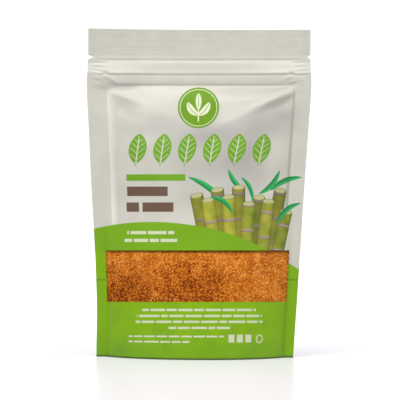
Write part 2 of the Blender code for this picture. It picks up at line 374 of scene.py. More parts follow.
@dataclass
class Panel:
    """One panel's film, with the folds and dents that the filling presses into it."""

    form: PouchForm
    side: Side
    folds: tuple[Fold, ...]
    marks: tuple[Union[Fold, Dent], ...]
    sway: Sway
    fold_clear: float = 3 * MM
    sway_clear: float = 25 * MM
    sway_foot: Place = (4 * MM, 30 * MM)
    sway_head: Place = (225 * MM, 242 * MM)
    seal_line: float = 0.14 * MM
    seal_line_half: float = 0.7 * MM
    seal_line_rise: float = 2 * MM

    def relief(self, across: Array, up: Array) -> Array:
        """Works out everything that stands out of the plain bulge.

        Args:
            across: Film coordinates across the panel.
            up: Heights on the panel.

        Returns:
            The relief at each place.
        """
        form = self.form
        inside = np.minimum(across - form.crease_left, form.crease_right - across)
        total = sum(fold.relief(across, up) for fold in self.folds) * smooth(0, self.fold_clear, inside)
        calm = smooth(0, self.sway_clear, inside) * smooth(*self.sway_foot, up)
        total = total + self.sway.relief(across, up) * calm * (1 - smooth(*self.sway_head, up))
        for mark in self.marks:
            total = total + mark.relief(across, up)
        seam = 1 - smooth(-self.seal_line_half, self.seal_line_half, np.abs(across) - form.seal_edge)
        seam = self.seal_line * seam * smooth(form.zip_head, form.zip_head + self.seal_line_rise, up)
        return total + seam + form.zip_relief(across, up)

    def out(self, across: Array, up: Array) -> Array:
        """How far the film's face stands out of the pouch's middle plane."""
        out = self.form.seal_thickness / 2 + self.form.bulge(across, up) + self.relief(across, up)
        return np.maximum(out, self.form.film + 0.02 * MM)

    def points(self, across: Array, up: Array, inwards: Union[float, Array] = 0.0) -> Array:
        """Places film coordinates in space.

        Args:
            across: Film coordinates across the panel.
            up: Heights on the panel.
            inwards: How far inside the film's face.

        Returns:
            The points, with x, y and z last.
        """
        form = self.form
        x = form.place_x(across, up)
        y = self.side.value * (self.out(across, up) - inwards) + form.bow(x, up)
        return np.stack([x, y, form.row_height(across, up)], axis=-1)

    def thickness(self, across: Array, up: Array) -> Array:
        """The film's thickness. In the seals it reaches the other panel's film."""
        sealed = (np.abs(across) > self.form.seal_edge - 0.1 * MM) | (up > self.form.zip_head + 0.1 * MM)
        return np.where(sealed, self.out(across, up), self.form.film)


class MeshWork:
    """Makes plain mesh objects from arrays of points and faces."""

    @staticmethod
    def quads(columns: int, rows: int, turned: bool = False) -> Array:
        """Numbers the faces of a grid of points.

        Args:
            columns: How many columns the grid has.
            rows: How many rows the grid has.
            turned: Whether the faces look the other way.

        Returns:
            Four point numbers for each face, in an array of columns by rows of faces.
        """
        number = np.arange(columns * rows).reshape(columns, rows)
        corners = [number[:-1, :-1], number[1:, :-1], number[1:, 1:], number[:-1, 1:]]
        return np.stack(corners[::-1] if turned else corners, axis=-1)

    @staticmethod
    def shell(faces: Array, count: int) -> Array:
        """Closes a sheet with its inner face and its rim.

        Args:
            faces: The outer sheet's faces.
            count: How many points the outer sheet has. The inner sheet's points follow them.

        Returns:
            The faces of the closed shell.
        """
        edges = np.concatenate([faces[:, [a, (a + 1) % 4]] for a in range(4)])
        _, first, times = np.unique(np.sort(edges, axis=1), axis=0, return_index=True, return_counts=True)
        rim = edges[first[times == 1]]
        walls = np.stack([rim[:, 1], rim[:, 0], rim[:, 0] + count, rim[:, 1] + count], axis=-1)
        return np.concatenate([faces, faces[:, ::-1] + count, walls])

    @staticmethod
    def make(
        name: str,
        points: Array,
        faces: Array,
        material: Material,
        film_map: Optional[Array] = None,
        crisp: float = 50.0,
    ) -> Object:
        """Makes an object from points and four-cornered faces.

        Args:
            name: The piece's name.
            points: One row for each point.
            faces: Four point numbers for each face.
            material: The piece's finish.
            film_map: Film coordinates of each point, across and up.
            crisp: Edges that turn by more degrees than this look sharp.

        Returns:
            The new object.
        """
        used, numbers = np.unique(faces, return_inverse=True)
        mesh = bpy.data.meshes.new(name)
        mesh.from_pydata(points[used].tolist(), [], numbers.reshape(faces.shape).tolist())
        mesh.shade_smooth()
        mesh.set_sharp_from_angle(angle=math.radians(crisp))
        mesh.materials.append(material)
        if film_map is not None:
            layer = mesh.uv_layers.new(name=FILM_MAP)
            corner = np.empty(len(mesh.loops), dtype=np.int32)
            mesh.loops.foreach_get("vertex_index", corner)
            shift = np.array([FILM_MAP_SIZE / 3, 0.0])
            layer.data.foreach_set("uv", ((film_map[used] + shift) / FILM_MAP_SIZE)[corner].ravel())
        made = bpy.data.objects.new(name, mesh)
        bpy.context.scene.collection.objects.link(made)
        return made

    @classmethod
    def slab(
        cls,
        name: str,
        outer: Array,
        inner: Array,
        material: Material,
        faces: Optional[Array] = None,
        film_map: Optional[Array] = None,
        **looks: float,
    ) -> Object:
        """Makes a closed slab between two grids of points.

        Args:
            name: The piece's name.
            outer: The outer face's points, by column and row.
            inner: The inner face's points.
            material: The piece's finish.
            faces: The outer faces, when not the whole grid has them.
            film_map: Film coordinates of each outer point, across and up.
            looks: What make takes further.

        Returns:
            The new object.
        """
        columns, rows = outer.shape[:2]
        faces = cls.quads(columns, rows) if faces is None else faces
        faces = cls.shell(faces.reshape(-1, 4), columns * rows)
        if film_map is not None:
            film_map = np.concatenate([film_map, film_map])
        points = np.concatenate([outer.reshape(-1, 3), inner.reshape(-1, 3)])
        return cls.make(name, points, faces, material, film_map, **looks)

    @staticmethod
    def note(piece: Object, name: str, values: Array) -> None:
        """Stores a number at each point of a piece's mesh."""
        piece.data.attributes.new(name, "FLOAT", "POINT")
        piece.data.attributes[name].data.foreach_set("value", values)


Number = Union[float, "Field"]
Paint = Union[Colour, NodeSocket]
Inputs = dict[Union[int, str], object]


def add_node(tree: NodeTree, kind: str, inputs: Optional[Inputs] = None, **settings: object) -> Node:
    """Adds a node with its settings and inputs.

    Args:
        tree: The tree that it goes into.
        kind: The node's type.
        inputs: Each input's value, or the field, socket or node that it is linked to.
        settings: The node's own settings.

    Returns:
        The new node.
    """
    node = tree.nodes.new(kind)
    for name, value in settings.items():
        setattr(node, name, value)
    for slot, value in (inputs or {}).items():
        if isinstance(value, Field):
            value = value.socket
        elif isinstance(value, Node):
            value = value.outputs[0]
        if isinstance(value, NodeSocket):
            tree.links.new(value, node.inputs[slot])
        else:
            node.inputs[slot].default_value = value
    return node


class Field:
    """A number at each place of a surface, worked out by shader nodes."""

    def __init__(self, tree: NodeTree, socket: NodeSocket) -> None:
        """Holds the node socket that gives the number."""
        self.tree = tree
        self.socket = socket

    def work(self, operation: str, *others: Number, clamp: bool = False) -> "Field":
        """Adds one Math node, and keeps its result between 0 and 1 where it is clamped."""
        inputs = dict(enumerate((self, *others)))
        node = add_node(self.tree, "ShaderNodeMath", inputs, operation=operation, use_clamp=clamp)
        return Field(self.tree, node.outputs[0])

    def __add__(self, other: Number) -> "Field":
        """Adds a number."""
        return self.work("ADD", other)

    def __sub__(self, other: Number) -> "Field":
        """Takes a number away."""
        return self.work("SUBTRACT", other)

    def __mul__(self, other: Number) -> "Field":
        """Multiplies by a number."""
        return self.work("MULTIPLY", other)

    def __truediv__(self, other: Number) -> "Field":
        """Divides by a number."""
        return self.work("DIVIDE", other)

    def __neg__(self) -> "Field":
        """Turns the sign."""
        return self.work("MULTIPLY", -1.0)

    def abs(self) -> "Field":
        """Drops the sign."""
        return self.work("ABSOLUTE")

    def least(self, other: Number) -> "Field":
        """The lesser of the two."""
        return self.work("MINIMUM", other)

    def most(self, other: Number) -> "Field":
        """The greater of the two."""
        return self.work("MAXIMUM", other)

    def power(self, other: Number) -> "Field":
        """Raises to a power."""
        return self.work("POWER", other)

    def root(self) -> "Field":
        """The square root."""
        return self.work("SQRT")

    def floor(self) -> "Field":
        """Rounds down."""
        return self.work("FLOOR")

    def rest(self, period: Number) -> "Field":
        """The rest after whole periods."""
        return self.work("FLOORED_MODULO", period)

    def spare(self) -> "Field":
        """What is missing to 1."""
        return -(self - 1.0)

    def kept(self) -> "Field":
        """The number, kept between 0 and 1."""
        return self.work("ADD", 0.0, clamp=True)

    def between(self, low: float, high: float) -> "Field":
        """The lesser distance inside two limits, below 0 outside them."""
        return (self - low).least(-(self - high))

    def inside(self, softness: float = 0.25) -> "Field":
        """A share from 0 to 1 that turns where the field passes 0, over a short softness."""
        return (self / softness).work("ADD", 0.5, clamp=True)

    def ramp(self, low: float, high: float, first: float = 0.0, last: float = 1.0) -> "Field":
        """Maps the range from low to high to the range from first to last, with soft ends."""
        inputs = {"Value": self, "From Min": low, "From Max": high, "To Min": first, "To Max": last}
        node = add_node(self.tree, "ShaderNodeMapRange", inputs, interpolation_type="SMOOTHSTEP")
        return Field(self.tree, node.outputs["Result"])

    @staticmethod
    def parts(tree: NodeTree, place: NodeSocket) -> list["Field"]:
        """Splits a place into its three coordinates."""
        return [Field(tree, output) for output in add_node(tree, "ShaderNodeSeparateXYZ", {0: place}).outputs]

    @staticmethod
    def distance(wide: "Field", tall: "Field") -> "Field":
        """How far a place is from the origin of two coordinates."""
        return (wide * wide + tall * tall).root()


class Finish:
    """A material whose shader is fed by nodes."""

    def __init__(self, name: str) -> None:
        """Makes the material with its one Principled shader."""
        self.material = bpy.data.materials.new(name)
        self.material.use_nodes = True
        self.tree = self.material.node_tree
        self.shader = self.tree.nodes["Principled BSDF"]

    def set(self, **values: Union[float, Colour]) -> None:
        """Sets even values on the shader's own sockets, named in small letters with underscores."""
        for name, value in values.items():
            socket = self.shader.inputs[name.replace("_", " ").title().replace("Ior", "IOR")]
            socket.default_value = (*value, 1.0) if isinstance(value, tuple) else value

    def feed(self, name: str, source: Union[Field, NodeSocket]) -> None:
        """Links a field or colour to one of the shader's sockets."""
        socket = source.socket if isinstance(source, Field) else source
        self.tree.links.new(socket, self.shader.inputs[name])

    def feed_roughness(self, sheen: Field, middle: float, less: float = 0.05, more: float = 0.06) -> None:
        """Lets the roughness change a little with a noise."""
        self.feed("Roughness", sheen.ramp(0.3, 0.7, middle - less, middle + more))

    def object_place(self) -> NodeSocket:
        """The place on the piece, in metres."""
        return add_node(self.tree, "ShaderNodeTexCoord").outputs["Object"]

    def split(self, place: NodeSocket) -> list[Field]:
        """Splits a place into its three coordinates."""
        return Field.parts(self.tree, place)

    def film_place(self) -> tuple[Field, Field]:
        """The film coordinates across and up, in millimetres."""
        lookup = add_node(self.tree, "ShaderNodeUVMap", uv_map=FILM_MAP)
        across, up, _ = self.split(lookup.outputs["UV"])
        size = FILM_MAP_SIZE / MM
        return across * size - size / 3, up * size

    def attribute(self, name: str) -> Field:
        """Reads a number that the piece's mesh carries."""
        node = add_node(self.tree, "ShaderNodeAttribute", attribute_name=name)
        return Field(self.tree, node.outputs["Fac"])

    def noise(self, place: NodeSocket, grain: float, detail: float = 2.0) -> Field:
        """Soft noise, about 0.5 on average, with patches of the grain's size in metres."""
        inputs = {"Vector": place, "Scale": 1 / grain, "Detail": detail}
        return Field(self.tree, add_node(self.tree, "ShaderNodeTexNoise", inputs).outputs[0])

    def chance(self, number: Field) -> Field:
        """A number from 0 to 1 by chance, the same wherever the given number is the same."""
        node = add_node(self.tree, "ShaderNodeTexWhiteNoise", {"W": number}, noise_dimensions="1D")
        return Field(self.tree, node.outputs["Value"])

    def grey(self, level: Field) -> NodeSocket:
        """A grey of the given level."""
        return add_node(self.tree, "ShaderNodeCombineColor", {0: level, 1: level, 2: level}).outputs[0]

    def mix(self, share: Number, first: Paint, second: Paint, way: str = "MIX") -> NodeSocket:
        """Lays one colour over another.

        Args:
            share: How much of the second colour shows.
            first: The colour below.
            second: The colour above.
            way: The Mix node's blend type.

        Returns:
            The mixed colour.
        """
        below, above = ((*paint, 1.0) if isinstance(paint, tuple) else paint for paint in (first, second))
        inputs = {0: share, 6: below, 7: above}
        return add_node(self.tree, "ShaderNodeMix", inputs, data_type="RGBA", blend_type=way).outputs[2]

    def bump(self, *layers: tuple[Field, float, float]) -> None:
        """Lays bump maps over one another.

        Args:
            layers: Each one's height field, its depth in metres and its strength.
        """
        below = {}
        for height, depth, strength in layers:
            inputs = {"Height": height, "Distance": depth, "Strength": strength, **below}
            below = {"Normal": add_node(self.tree, "ShaderNodeBump", inputs)}
        self.feed("Normal", below["Normal"].outputs["Normal"])


@dataclass(frozen=True)
class Oval:
    """A soft oval patch. It has its full strength up to its core and is gone at its rim."""

    middle: Place
    reach: Place
    core: float
    strength: float
    rim: float = 1.0

    def draw(self, wide: Field, tall: Field) -> Field:
        """The patch's strength at each place of two coordinates."""
        first = (wide - self.middle[0]) / self.reach[0]
        second = (tall - self.middle[1]) / self.reach[1]
        return Field.distance(first, second).ramp(self.core, self.rim, self.strength, 0.0)


@dataclass
class Plate:
    """The material that a print goes into, with the film coordinates in millimetres."""

    finish: Finish
    across: Field
    up: Field

    def lay(self, below: Paint, shape: Field, ink: Paint, softness: float = 0.25) -> NodeSocket:
        """Lays ink over the colour below.

        Args:
            below: The colour so far.
            shape: The distance inside the shape's edge.
            ink: The colour to lay.
            softness: Over how many millimetres the edge turns.

        Returns:
            The new colour.
        """
        return self.finish.mix(shape.inside(softness), below, ink)

    def box(self, left: float, right: float, low: float, high: float) -> Field:
        """The distance inside an upright rectangle."""
        return self.across.between(left, right).least(self.up.between(low, high))

    def from_point(self, middle: Place) -> Field:
        """How far each place is from a point."""
        return Field.distance(self.across - middle[0], self.up - middle[1])

    def patches(self, ovals: Sequence[Oval]) -> Field:
        """Adds soft patches up."""
        total, *others = [oval.draw(self.across, self.up) for oval in ovals]
        for other in others:
            total = total + other
        return total


@dataclass(frozen=True)
class Blade:
    """A curved leaf between two points of the print, in millimetres."""

    start: Place
    tip: Place
    half_width: float
    sag: float
    fullness: float = 0.7

    def draw(self, plate: Plate) -> tuple[Field, Field]:
        """Draws the leaf.

        Args:
            plate: The print that it belongs to.

        Returns:
            The distance inside the leaf's edge, and the place across the leaf.
        """
        run = self.tip[0] - self.start[0]
        rise = self.tip[1] - self.start[1]
        length = math.hypot(run, rise)
        wide, tall = plate.across - self.start[0], plate.up - self.start[1]
        along = (wide * (run / length**2) + tall * (rise / length**2)).kept()
        beside = wide * (rise / length) - tall * (run / length)
        swell = along * along.spare()
        beside = beside - swell * (4 * self.sag)
        full = (swell * 4.0).power(self.fullness) * self.half_width
        ends = (wide * (run / length) + tall * (rise / length)).between(0.0, length)
        return (full - beside.abs()).least(ends), beside


@dataclass(frozen=True)
class WordLine:
    """A row of short plain bars of the print, in millimetres."""

    left: float
    right: float
    low: float
    high: float
    seed: float
    word: float = 15.0
    gap: float = 1.6

    def draw(self, plate: Plate) -> Field:
        """Draws the bars.

        Args:
            plate: The print that they belong to.

        Returns:
            The distance inside a bar's edge.
        """
        wide = (plate.across - self.left) / self.word
        cell = wide.floor()
        start = plate.finish.chance(cell * 7.13 + self.seed) * 0.5 + 0.1
        part = (wide - cell - start).abs() * self.word - self.gap / 2
        return part.least(plate.box(self.left, self.right, self.low, self.high))


@dataclass(frozen=True)
class FilmInk:
    """The inks of the printed film, and the colours of its painted highlights and shade, as linear colours.
    """

    cream: Colour = (0.660, 0.642, 0.560)
    # Painted highlight: lighter cream along the left seal's inner edge and at the zip's ends.
    lit: Colour = (0.920, 0.900, 0.810)
    # Painted shade of the bulge and the folds on the front, and the random mottle of the film and its ribs.
    grey: Colour = (0.440, 0.425, 0.395)
    # Painted shade in the creases along the right seal, the zip's foot and between the zip's lips.
    painted_fold_shade: Colour = (0.330, 0.318, 0.296)
    # Painted shade at the panels' lower edge and along the fold in each side seal.
    painted_shade_green: Colour = (0.055, 0.100, 0.020)
    green: Colour = (0.250, 0.480, 0.004)
    deep_green: Colour = (0.168, 0.378, 0.016)
    badge: Colour = (0.140, 0.300, 0.0)
    leaf: Colour = (0.012, 0.270, 0.070)
    brown: Colour = (0.155, 0.092, 0.066)
    pale: Colour = (0.700, 0.740, 0.520)
    cane_light: Colour = (0.560, 0.520, 0.060)
    cane_dark: Colour = (0.170, 0.250, 0.020)
    cane_ring: Colour = (0.430, 0.330, 0.260)
    cane_cut: Colour = (0.560, 0.520, 0.270)


@dataclass(frozen=True)
class StalkFan:
    """A fan of cut cane stalks, in millimetres. The shift turns the fan by a share of a stalk."""

    shift: float
    top: float
    light: float
    foot: Place = (48.0, -78.0)
    turn: float = math.radians(5.0)
    half_width: float = 6.2
    height_spread: float = 13.0
    outermost: float = 2.5
    joint_pitch: float = 22.0
    ring_width: float = 2.6
    cut_half_height: float = 2.3

    def draw(self, plate: Plate, ink: FilmInk, below: Paint) -> NodeSocket:
        """Draws the stalks.

        Args:
            plate: The print that they belong to.
            ink: The print's inks.
            below: The colour under them.

        Returns:
            The colour with the stalks.
        """
        finish = plate.finish
        wide, tall = plate.across - self.foot[0], plate.up - self.foot[1]
        angle = wide.work("ARCTAN2", tall) / self.turn + self.shift
        number = (angle + 0.5).floor()
        shown = number.abs().between(-1.0, self.outermost)
        reach = Field.distance(wide, tall)
        beside = (angle - number) * self.turn * reach / self.half_width
        luck = finish.chance(number * 3.7 + (11.0 + self.shift))
        height = reach - (luck * self.height_spread + (self.top - self.height_spread / 2))
        body = (-((beside * self.half_width).abs() - self.half_width)).least(-height).least(shown)
        dome = (beside * beside).spare().most(0.0).root()
        shade = dome.power(0.8) * (0.75 * self.light) + (0.25 * self.light)
        hue = finish.noise(finish.object_place(), 9 * MM, 3.0)
        tone = (hue * 1.3 + luck * 0.5 - 0.45 + beside * -0.15).kept()
        colour = finish.mix(tone, ink.cane_dark, ink.cane_light)
        joint = (reach + luck * 23.0).rest(self.joint_pitch)
        colour = plate.lay(colour, joint.between(0.0, self.ring_width), ink.cane_ring, 0.5)
        colour = finish.mix(joint.between(-0.3, 0.5).inside(0.4) * 0.7, colour, ink.brown)
        colour = plate.lay(below, body, finish.mix(1.0, colour, finish.grey(shade), "MULTIPLY"), 0.3)
        cut = Field.distance(beside, height / self.cut_half_height).spare().least(shown)
        colour = plate.lay(colour, cut, ink.cane_dark, 0.1)
        return plate.lay(colour, cut - 0.16, ink.cane_cut, 0.1)


@dataclass(frozen=True)
class LeafRow:
    """A row of upright leaves with pale veins, in millimetres."""

    left: float = -67.0
    right: float = 69.5
    low: float = 171.6
    high: float = 198.4
    count: int = 6
    slant: float = -0.16
    leaf_share: float = 0.36
    vein_pitch: float = 5.0
    vein_rise: float = 0.85
    vein_width: float = 0.6
    vein_clear: float = 1.6

    def draw(self, plate: Plate, ink: FilmInk, below: Paint) -> NodeSocket:
        """Draws the leaves.

        Args:
            plate: The print that they belong to.
            ink: The print's inks.
            below: The colour under them.

        Returns:
            The colour with the row of leaves.
        """
        period = (self.right - self.left) / self.count
        half_height = (self.high - self.low) / 2
        half_width = period * self.leaf_share
        tall = plate.up - (self.low + self.high) / 2
        leaning = plate.across - self.left + tall * self.slant
        in_row = leaning.between(0.0, self.right - self.left)
        wide = leaning.rest(period) - period / 2
        radius = (half_height**2 + half_width**2) / (2 * half_width)
        leaf = -(Field.distance(wide.abs() + (radius - half_width), tall) - radius)
        leaf = leaf.least(in_row)
        rib = (-(wide.abs() - 0.55)).least(-(tall - half_height * 0.72))
        vein = (tall - wide.abs() * self.vein_rise).rest(self.vein_pitch).between(0.0, self.vein_width)
        vein = vein.least(leaf - self.vein_clear)
        stem = (-(wide.abs() - 0.6)).least(tall.between(-half_height - 1.5, 0.0)).least(in_row)
        colour = plate.lay(below, leaf.most(stem), ink.deep_green)
        return plate.lay(colour, rib.most(vein).least(leaf), ink.cream, 0.3)


# The print's shapes, and the soft ovals of painted shade. A box is its left, right, low and high side.

# Painted shade: soft ovals that darken the front film where its bulge and the folds under the zip fall into
# shade.
BODY_SHADES = (
    Oval((10.0, 182.0), (88.0, 68.0), 0.1, 0.66),
    Oval((46.0, 182.0), (36.0, 52.0), 0.0, 0.56),
    Oval((68.0, 213.0), (40.0, 26.0), 0.1, 0.62),
    Oval((76.0, 218.0), (17.0, 13.0), 0.2, 0.3),
)
EDGE_SHADES = (
    Oval((50.0, 236.2), (54.0, 8.0), 0.3, 0.5),
    Oval((0.0, 199.0), (44.0, 15.0), 0.2, 0.34),
    Oval((-74.0, 240.2), (27.0, 4.6), 0.3, 0.75),
)
LEFT_SHADE = Oval((-45.0, 212.0), (42.0, 20.0), 0.35, 0.33)
STALK_FANS = (StalkFan(0.5, 224.0, 0.62), StalkFan(0.0, 216.0, 1.0))
BACK_LEAVES = (
    Blade((26.0, 136.0), (-9.0, 160.0), 2.6, 3.0),
    Blade((68.0, 148.0), (97.0, 160.0), 2.4, -3.0),
    Blade((44.0, 148.0), (28.0, 167.0), 2.3, -2.5),
)
FRONT_LEAVES = (
    Blade((33.0, 128.0), (12.0, 142.0), 2.2, 4.0),
    Blade((57.0, 145.0), (76.0, 166.0), 2.5, 3.5),
    Blade((76.0, 118.0), (98.0, 137.0), 2.4, -4.0),
    Blade((52.0, 138.0), (40.0, 160.0), 1.9, 3.0),
)
SPROUT = (
    Blade((-0.3, 214.5), (-10.3, 226.5), 3.1, -1.6),
    Blade((-0.3, 214.5), (9.7, 226.5), 3.1, 1.6),
    Blade((-0.3, 219.5), (-0.3, 235.0), 2.6, 0.0),
)
SPROUT_STEM = (-0.9, 0.3, 209.0, 222.0)
GREEN_BAR = (-66.8, -11.6, 156.6, 162.4)
BROWN_BARS = ((-66.5, -28.1, 143.2, 151.6), (-67.5, -55.5, 129.2, 137.6), (-52.2, -22.8, 129.2, 137.6))
SMALL_LINES = (
    WordLine(-67.5, -22.0, 109.3, 112.1, 1.0),
    WordLine(-70.3, -19.2, 102.4, 105.2, 2.0),
    WordLine(-53.9, 59.2, 41.1, 43.1, 3.0),
    WordLine(-59.4, 65.5, 35.8, 37.8, 4.0),
    WordLine(-60.6, 66.4, 30.6, 32.6, 5.0),
    WordLine(-27.3, 33.7, 25.2, 27.2, 6.0),
    WordLine(-67.8, 27.8, 18.2, 19.6, 7.0, 12.0),
    WordLine(-67.8, -6.5, 13.8, 15.2, 8.0, 12.0),
)


@dataclass
class PrintedFilm:
    """The satin laminated film with its print and painted shade, for one panel."""

    name: str
    side: Side
    ink: FilmInk = field(default_factory=FilmInk)
    roughness: float = 0.40
    arc_middle: Place = (-44.0, -144.8)
    arc_radius: float = 265.0
    badge_middle: Place = (-0.3, 221.6)
    badge_radius: float = 18.5
    left_seam: float = -82.4
    right_seam: float = 85.9
    zip_foot: float = 242.4
    zip_lips: float = 251.7
    side_crease: float = 68.8
    seal_edge: float = 92.0
    blocks: Box = (32.2, 57.0, 14.0, 20.4)
    block_pitch: float = 8.6
    block_width: float = 6.0
    spot_middle: Place = (63.8, 16.8)
    spot_ring: Place = (2.6, 3.6)
    back_panel: Box = (-58.0, 58.0, 138.0, 214.0)
    back_rows: Box = (-52.0, 52.0, 146.0, 206.0)
    row_pitch: float = 6.0
    row_shift: float = 33.7
    back_label: Box = (-30.0, 30.0, 34.0, 66.0)

    def green_base(self, plate: Plate, below: Paint, green: Paint) -> NodeSocket:
        """Lays the green base with its curved top edge."""
        return plate.lay(below, -(plate.from_point(self.arc_middle) - self.arc_radius), green)

    def bottom_contact_shade(self, plate: Plate, below: Paint) -> NodeSocket:
        """Darkens the panel's lower edge with painted shade, where it meets the floor."""
        # Painted shade along the lowest two millimetres.
        return plate.finish.mix(plate.up.ramp(0.6, 2.4, 1.0, 0.0), below, self.ink.painted_shade_green)

    def shade(self, plate: Plate) -> Field:
        """How much painted shade darkens the front film, standing in for the shade of the filling's bulge and
        of the folds under the zip.
        """
        across, up = plate.across, plate.up
        # Masks of the painted shade: none on the lit slope above the right fold or on the flat right side,
        # and the left oval only below the left wedge.
        on_ridge = (up - across * 0.42 - 199.5).ramp(-5.0, 1.5) * across.ramp(8.0, 30.0)
        flat_right = across.ramp(58.0, 72.0) * up.ramp(186.0, 202.0, 1.0, 0.0)
        under_wedge = (-(up + across * 0.2 - 211.0)).ramp(-1.0, 6.0)
        body = plate.patches(BODY_SHADES) * on_ridge.spare() * (flat_right * 0.95).spare()
        left = LEFT_SHADE.draw(across, up) * under_wedge
        return (body + plate.patches(EDGE_SHADES) + left).kept()

    def crease_light_and_shade(self, plate: Plate, below: Paint) -> NodeSocket:
        """Paints a highlight along the left seal's inner edge and at the zip's ends, and lines of painted
        shade along the right seal's inner edge, the zip's foot and between its lips.

        Args:
            plate: The print that they belong to.
            below: The colour under the painted highlights and shade lines.

        Returns:
            The colour with the painted highlights and shade lines.
        """
        up, sideways = plate.up, plate.across.abs()
        beside_left = plate.across - self.left_seam
        beside_right = -(plate.across - self.right_seam)
        tall = up.ramp(104.0, 128.0) * up.ramp(232.0, 240.0, 1.0, 0.0)
        # Painted highlight along the left seal's inner edge and at the zip's ends.
        seam_highlight = beside_left.ramp(-0.4, 0.5) * beside_left.ramp(0.5, 8.0, 1.0, 0.0) * tall
        seam_highlight = seam_highlight * up.ramp(110.0, 190.0, 1.0, 0.6)
        zip_end_highlight = sideways.ramp(35.0, 75.0, 0.0, 0.42)
        zip_end_highlight = zip_end_highlight * up.ramp(252.6, 254.0) * up.ramp(260.5, 263.5, 1.0, 0.0)
        # Painted shade lines along the right seal's inner edge, the zip's foot and between the zip's lips.
        dark = beside_right.ramp(-0.6, 0.4) * beside_right.ramp(0.8, 3.2, 1.0, 0.0) * tall
        foot = (up - self.zip_foot).abs().ramp(0.2, 1.6, 0.3, 0.0) * sideways.ramp(64.0, 80.0, 1.0, 0.0)
        lips = (up - self.zip_lips).abs().ramp(0.0, 1.4, 0.56, 0.0) * sideways.ramp(82.0, 91.0, 1.0, 0.3)
        colour = plate.finish.mix(seam_highlight.most(zip_end_highlight), below, self.ink.lit)
        return plate.finish.mix((dark * 0.55).most(foot).most(lips), colour, self.ink.painted_fold_shade)

    def leaves(self, plate: Plate, blades: Sequence[Blade], below: Paint) -> NodeSocket:
        """Draws curved leaves, lighter on one half."""
        ink = self.ink.leaf
        lit = tuple(min(1.0, part * 1.5 + 0.02) for part in ink)
        for blade in blades:
            edge, beside = blade.draw(plate)
            below = plate.lay(below, edge, plate.finish.mix(beside.inside(0.8), ink, lit))
        return below

    def green_ink(self, plate: Plate) -> NodeSocket:
        """The green base's colour: darker towards the bottom, under its top edge and beside the right seal;
        painted shade to the left, which leaves a painted sheen on the lower right; soft patches of random
        tone; and a line of painted shade along the fold in each side seal.
        """
        finish, across, up = plate.finish, plate.across, plate.up
        patches = finish.noise(finish.object_place(), 17 * MM, 2.0)
        # Darker towards the bottom; painted shade to the left, so the lower right keeps a painted sheen; the
        # noise adds random patches of tone.
        green_shade_and_patches = up.ramp(2.0, 30.0, 0.5, 0.0) + across.ramp(-80.0, 20.0, 0.2, 0.0)
        green_shade_and_patches = green_shade_and_patches + patches.ramp(0.42, 0.66, -0.1, 0.3) * across.abs().ramp(88.0, 92.0, 1.0, 0.3)
        green_shade_and_patches = green_shade_and_patches.most(0.0)
        # Darker under the green's top edge and beside the right seal.
        green_shade_and_patches = green_shade_and_patches.most(up.ramp(84.0, 100.0, 0.0, 0.6)).most(across.ramp(84.0, 89.0, 0.0, 0.4))
        green = finish.mix(green_shade_and_patches, self.ink.green, self.ink.deep_green)
        # A thin line of painted shade along the fold in each side seal.
        seal_fold_shade = (up - self.side_crease).abs().ramp(0.2, 0.9, 0.5, 0.0)
        seal_fold_shade = seal_fold_shade * across.abs().ramp(self.seal_edge - 1.6, self.seal_edge - 0.6)
        return finish.mix(seal_fold_shade, green, self.ink.painted_shade_green)

    def badge(self, plate: Plate, below: Paint) -> NodeSocket:
        """Draws the round badge with its ring and sprout."""
        ink = self.ink
        disc = -(plate.from_point(self.badge_middle) - self.badge_radius)
        colour = plate.lay(below, disc, ink.badge)
        colour = plate.lay(colour, disc.between(1.7, 2.3), ink.pale)
        colour = plate.lay(colour, plate.box(*SPROUT_STEM), ink.pale)
        for blade in SPROUT:
            edge, beside = blade.draw(plate)
            colour = plate.lay(colour, edge.least(beside.abs() - 0.25), ink.pale)
        return colour

    def front_print_and_shade(self, plate: Plate, film: Paint) -> NodeSocket:
        """Draws the front panel's fields of colour and simple shapes over its painted shade and highlights.

        Args:
            plate: The print's material and coordinates.
            film: The unprinted film's colour.

        Returns:
            The printed colour.
        """
        ink, across = self.ink, plate.across
        # Painted shade of the bulge and the folds first, then painted highlights and shade lines along the
        # creases.
        colour = self.crease_light_and_shade(plate, plate.finish.mix(self.shade(plate), film, ink.grey))
        colour = self.leaves(plate, BACK_LEAVES, colour)
        for fan in STALK_FANS:
            colour = fan.draw(plate, ink, colour)
        colour = self.leaves(plate, FRONT_LEAVES, colour)
        colour = self.green_base(plate, colour, self.green_ink(plate))
        colour = self.badge(plate, colour)
        colour = LeafRow().draw(plate, ink, colour)
        colour = plate.lay(colour, plate.box(*GREEN_BAR), ink.deep_green)
        for bar in BROWN_BARS:
            colour = plate.lay(colour, plate.box(*bar), ink.brown)
        blocks = (across - self.blocks[0]).rest(self.block_pitch).between(0.0, self.block_width)
        blocks = blocks.least(plate.box(*self.blocks))
        spot = plate.from_point(self.spot_middle).between(*self.spot_ring)
        for shape in (*(line.draw(plate) for line in SMALL_LINES), blocks, spot):
            colour = plate.lay(colour, shape, ink.pale, 0.4)
        return self.bottom_contact_shade(plate, colour)

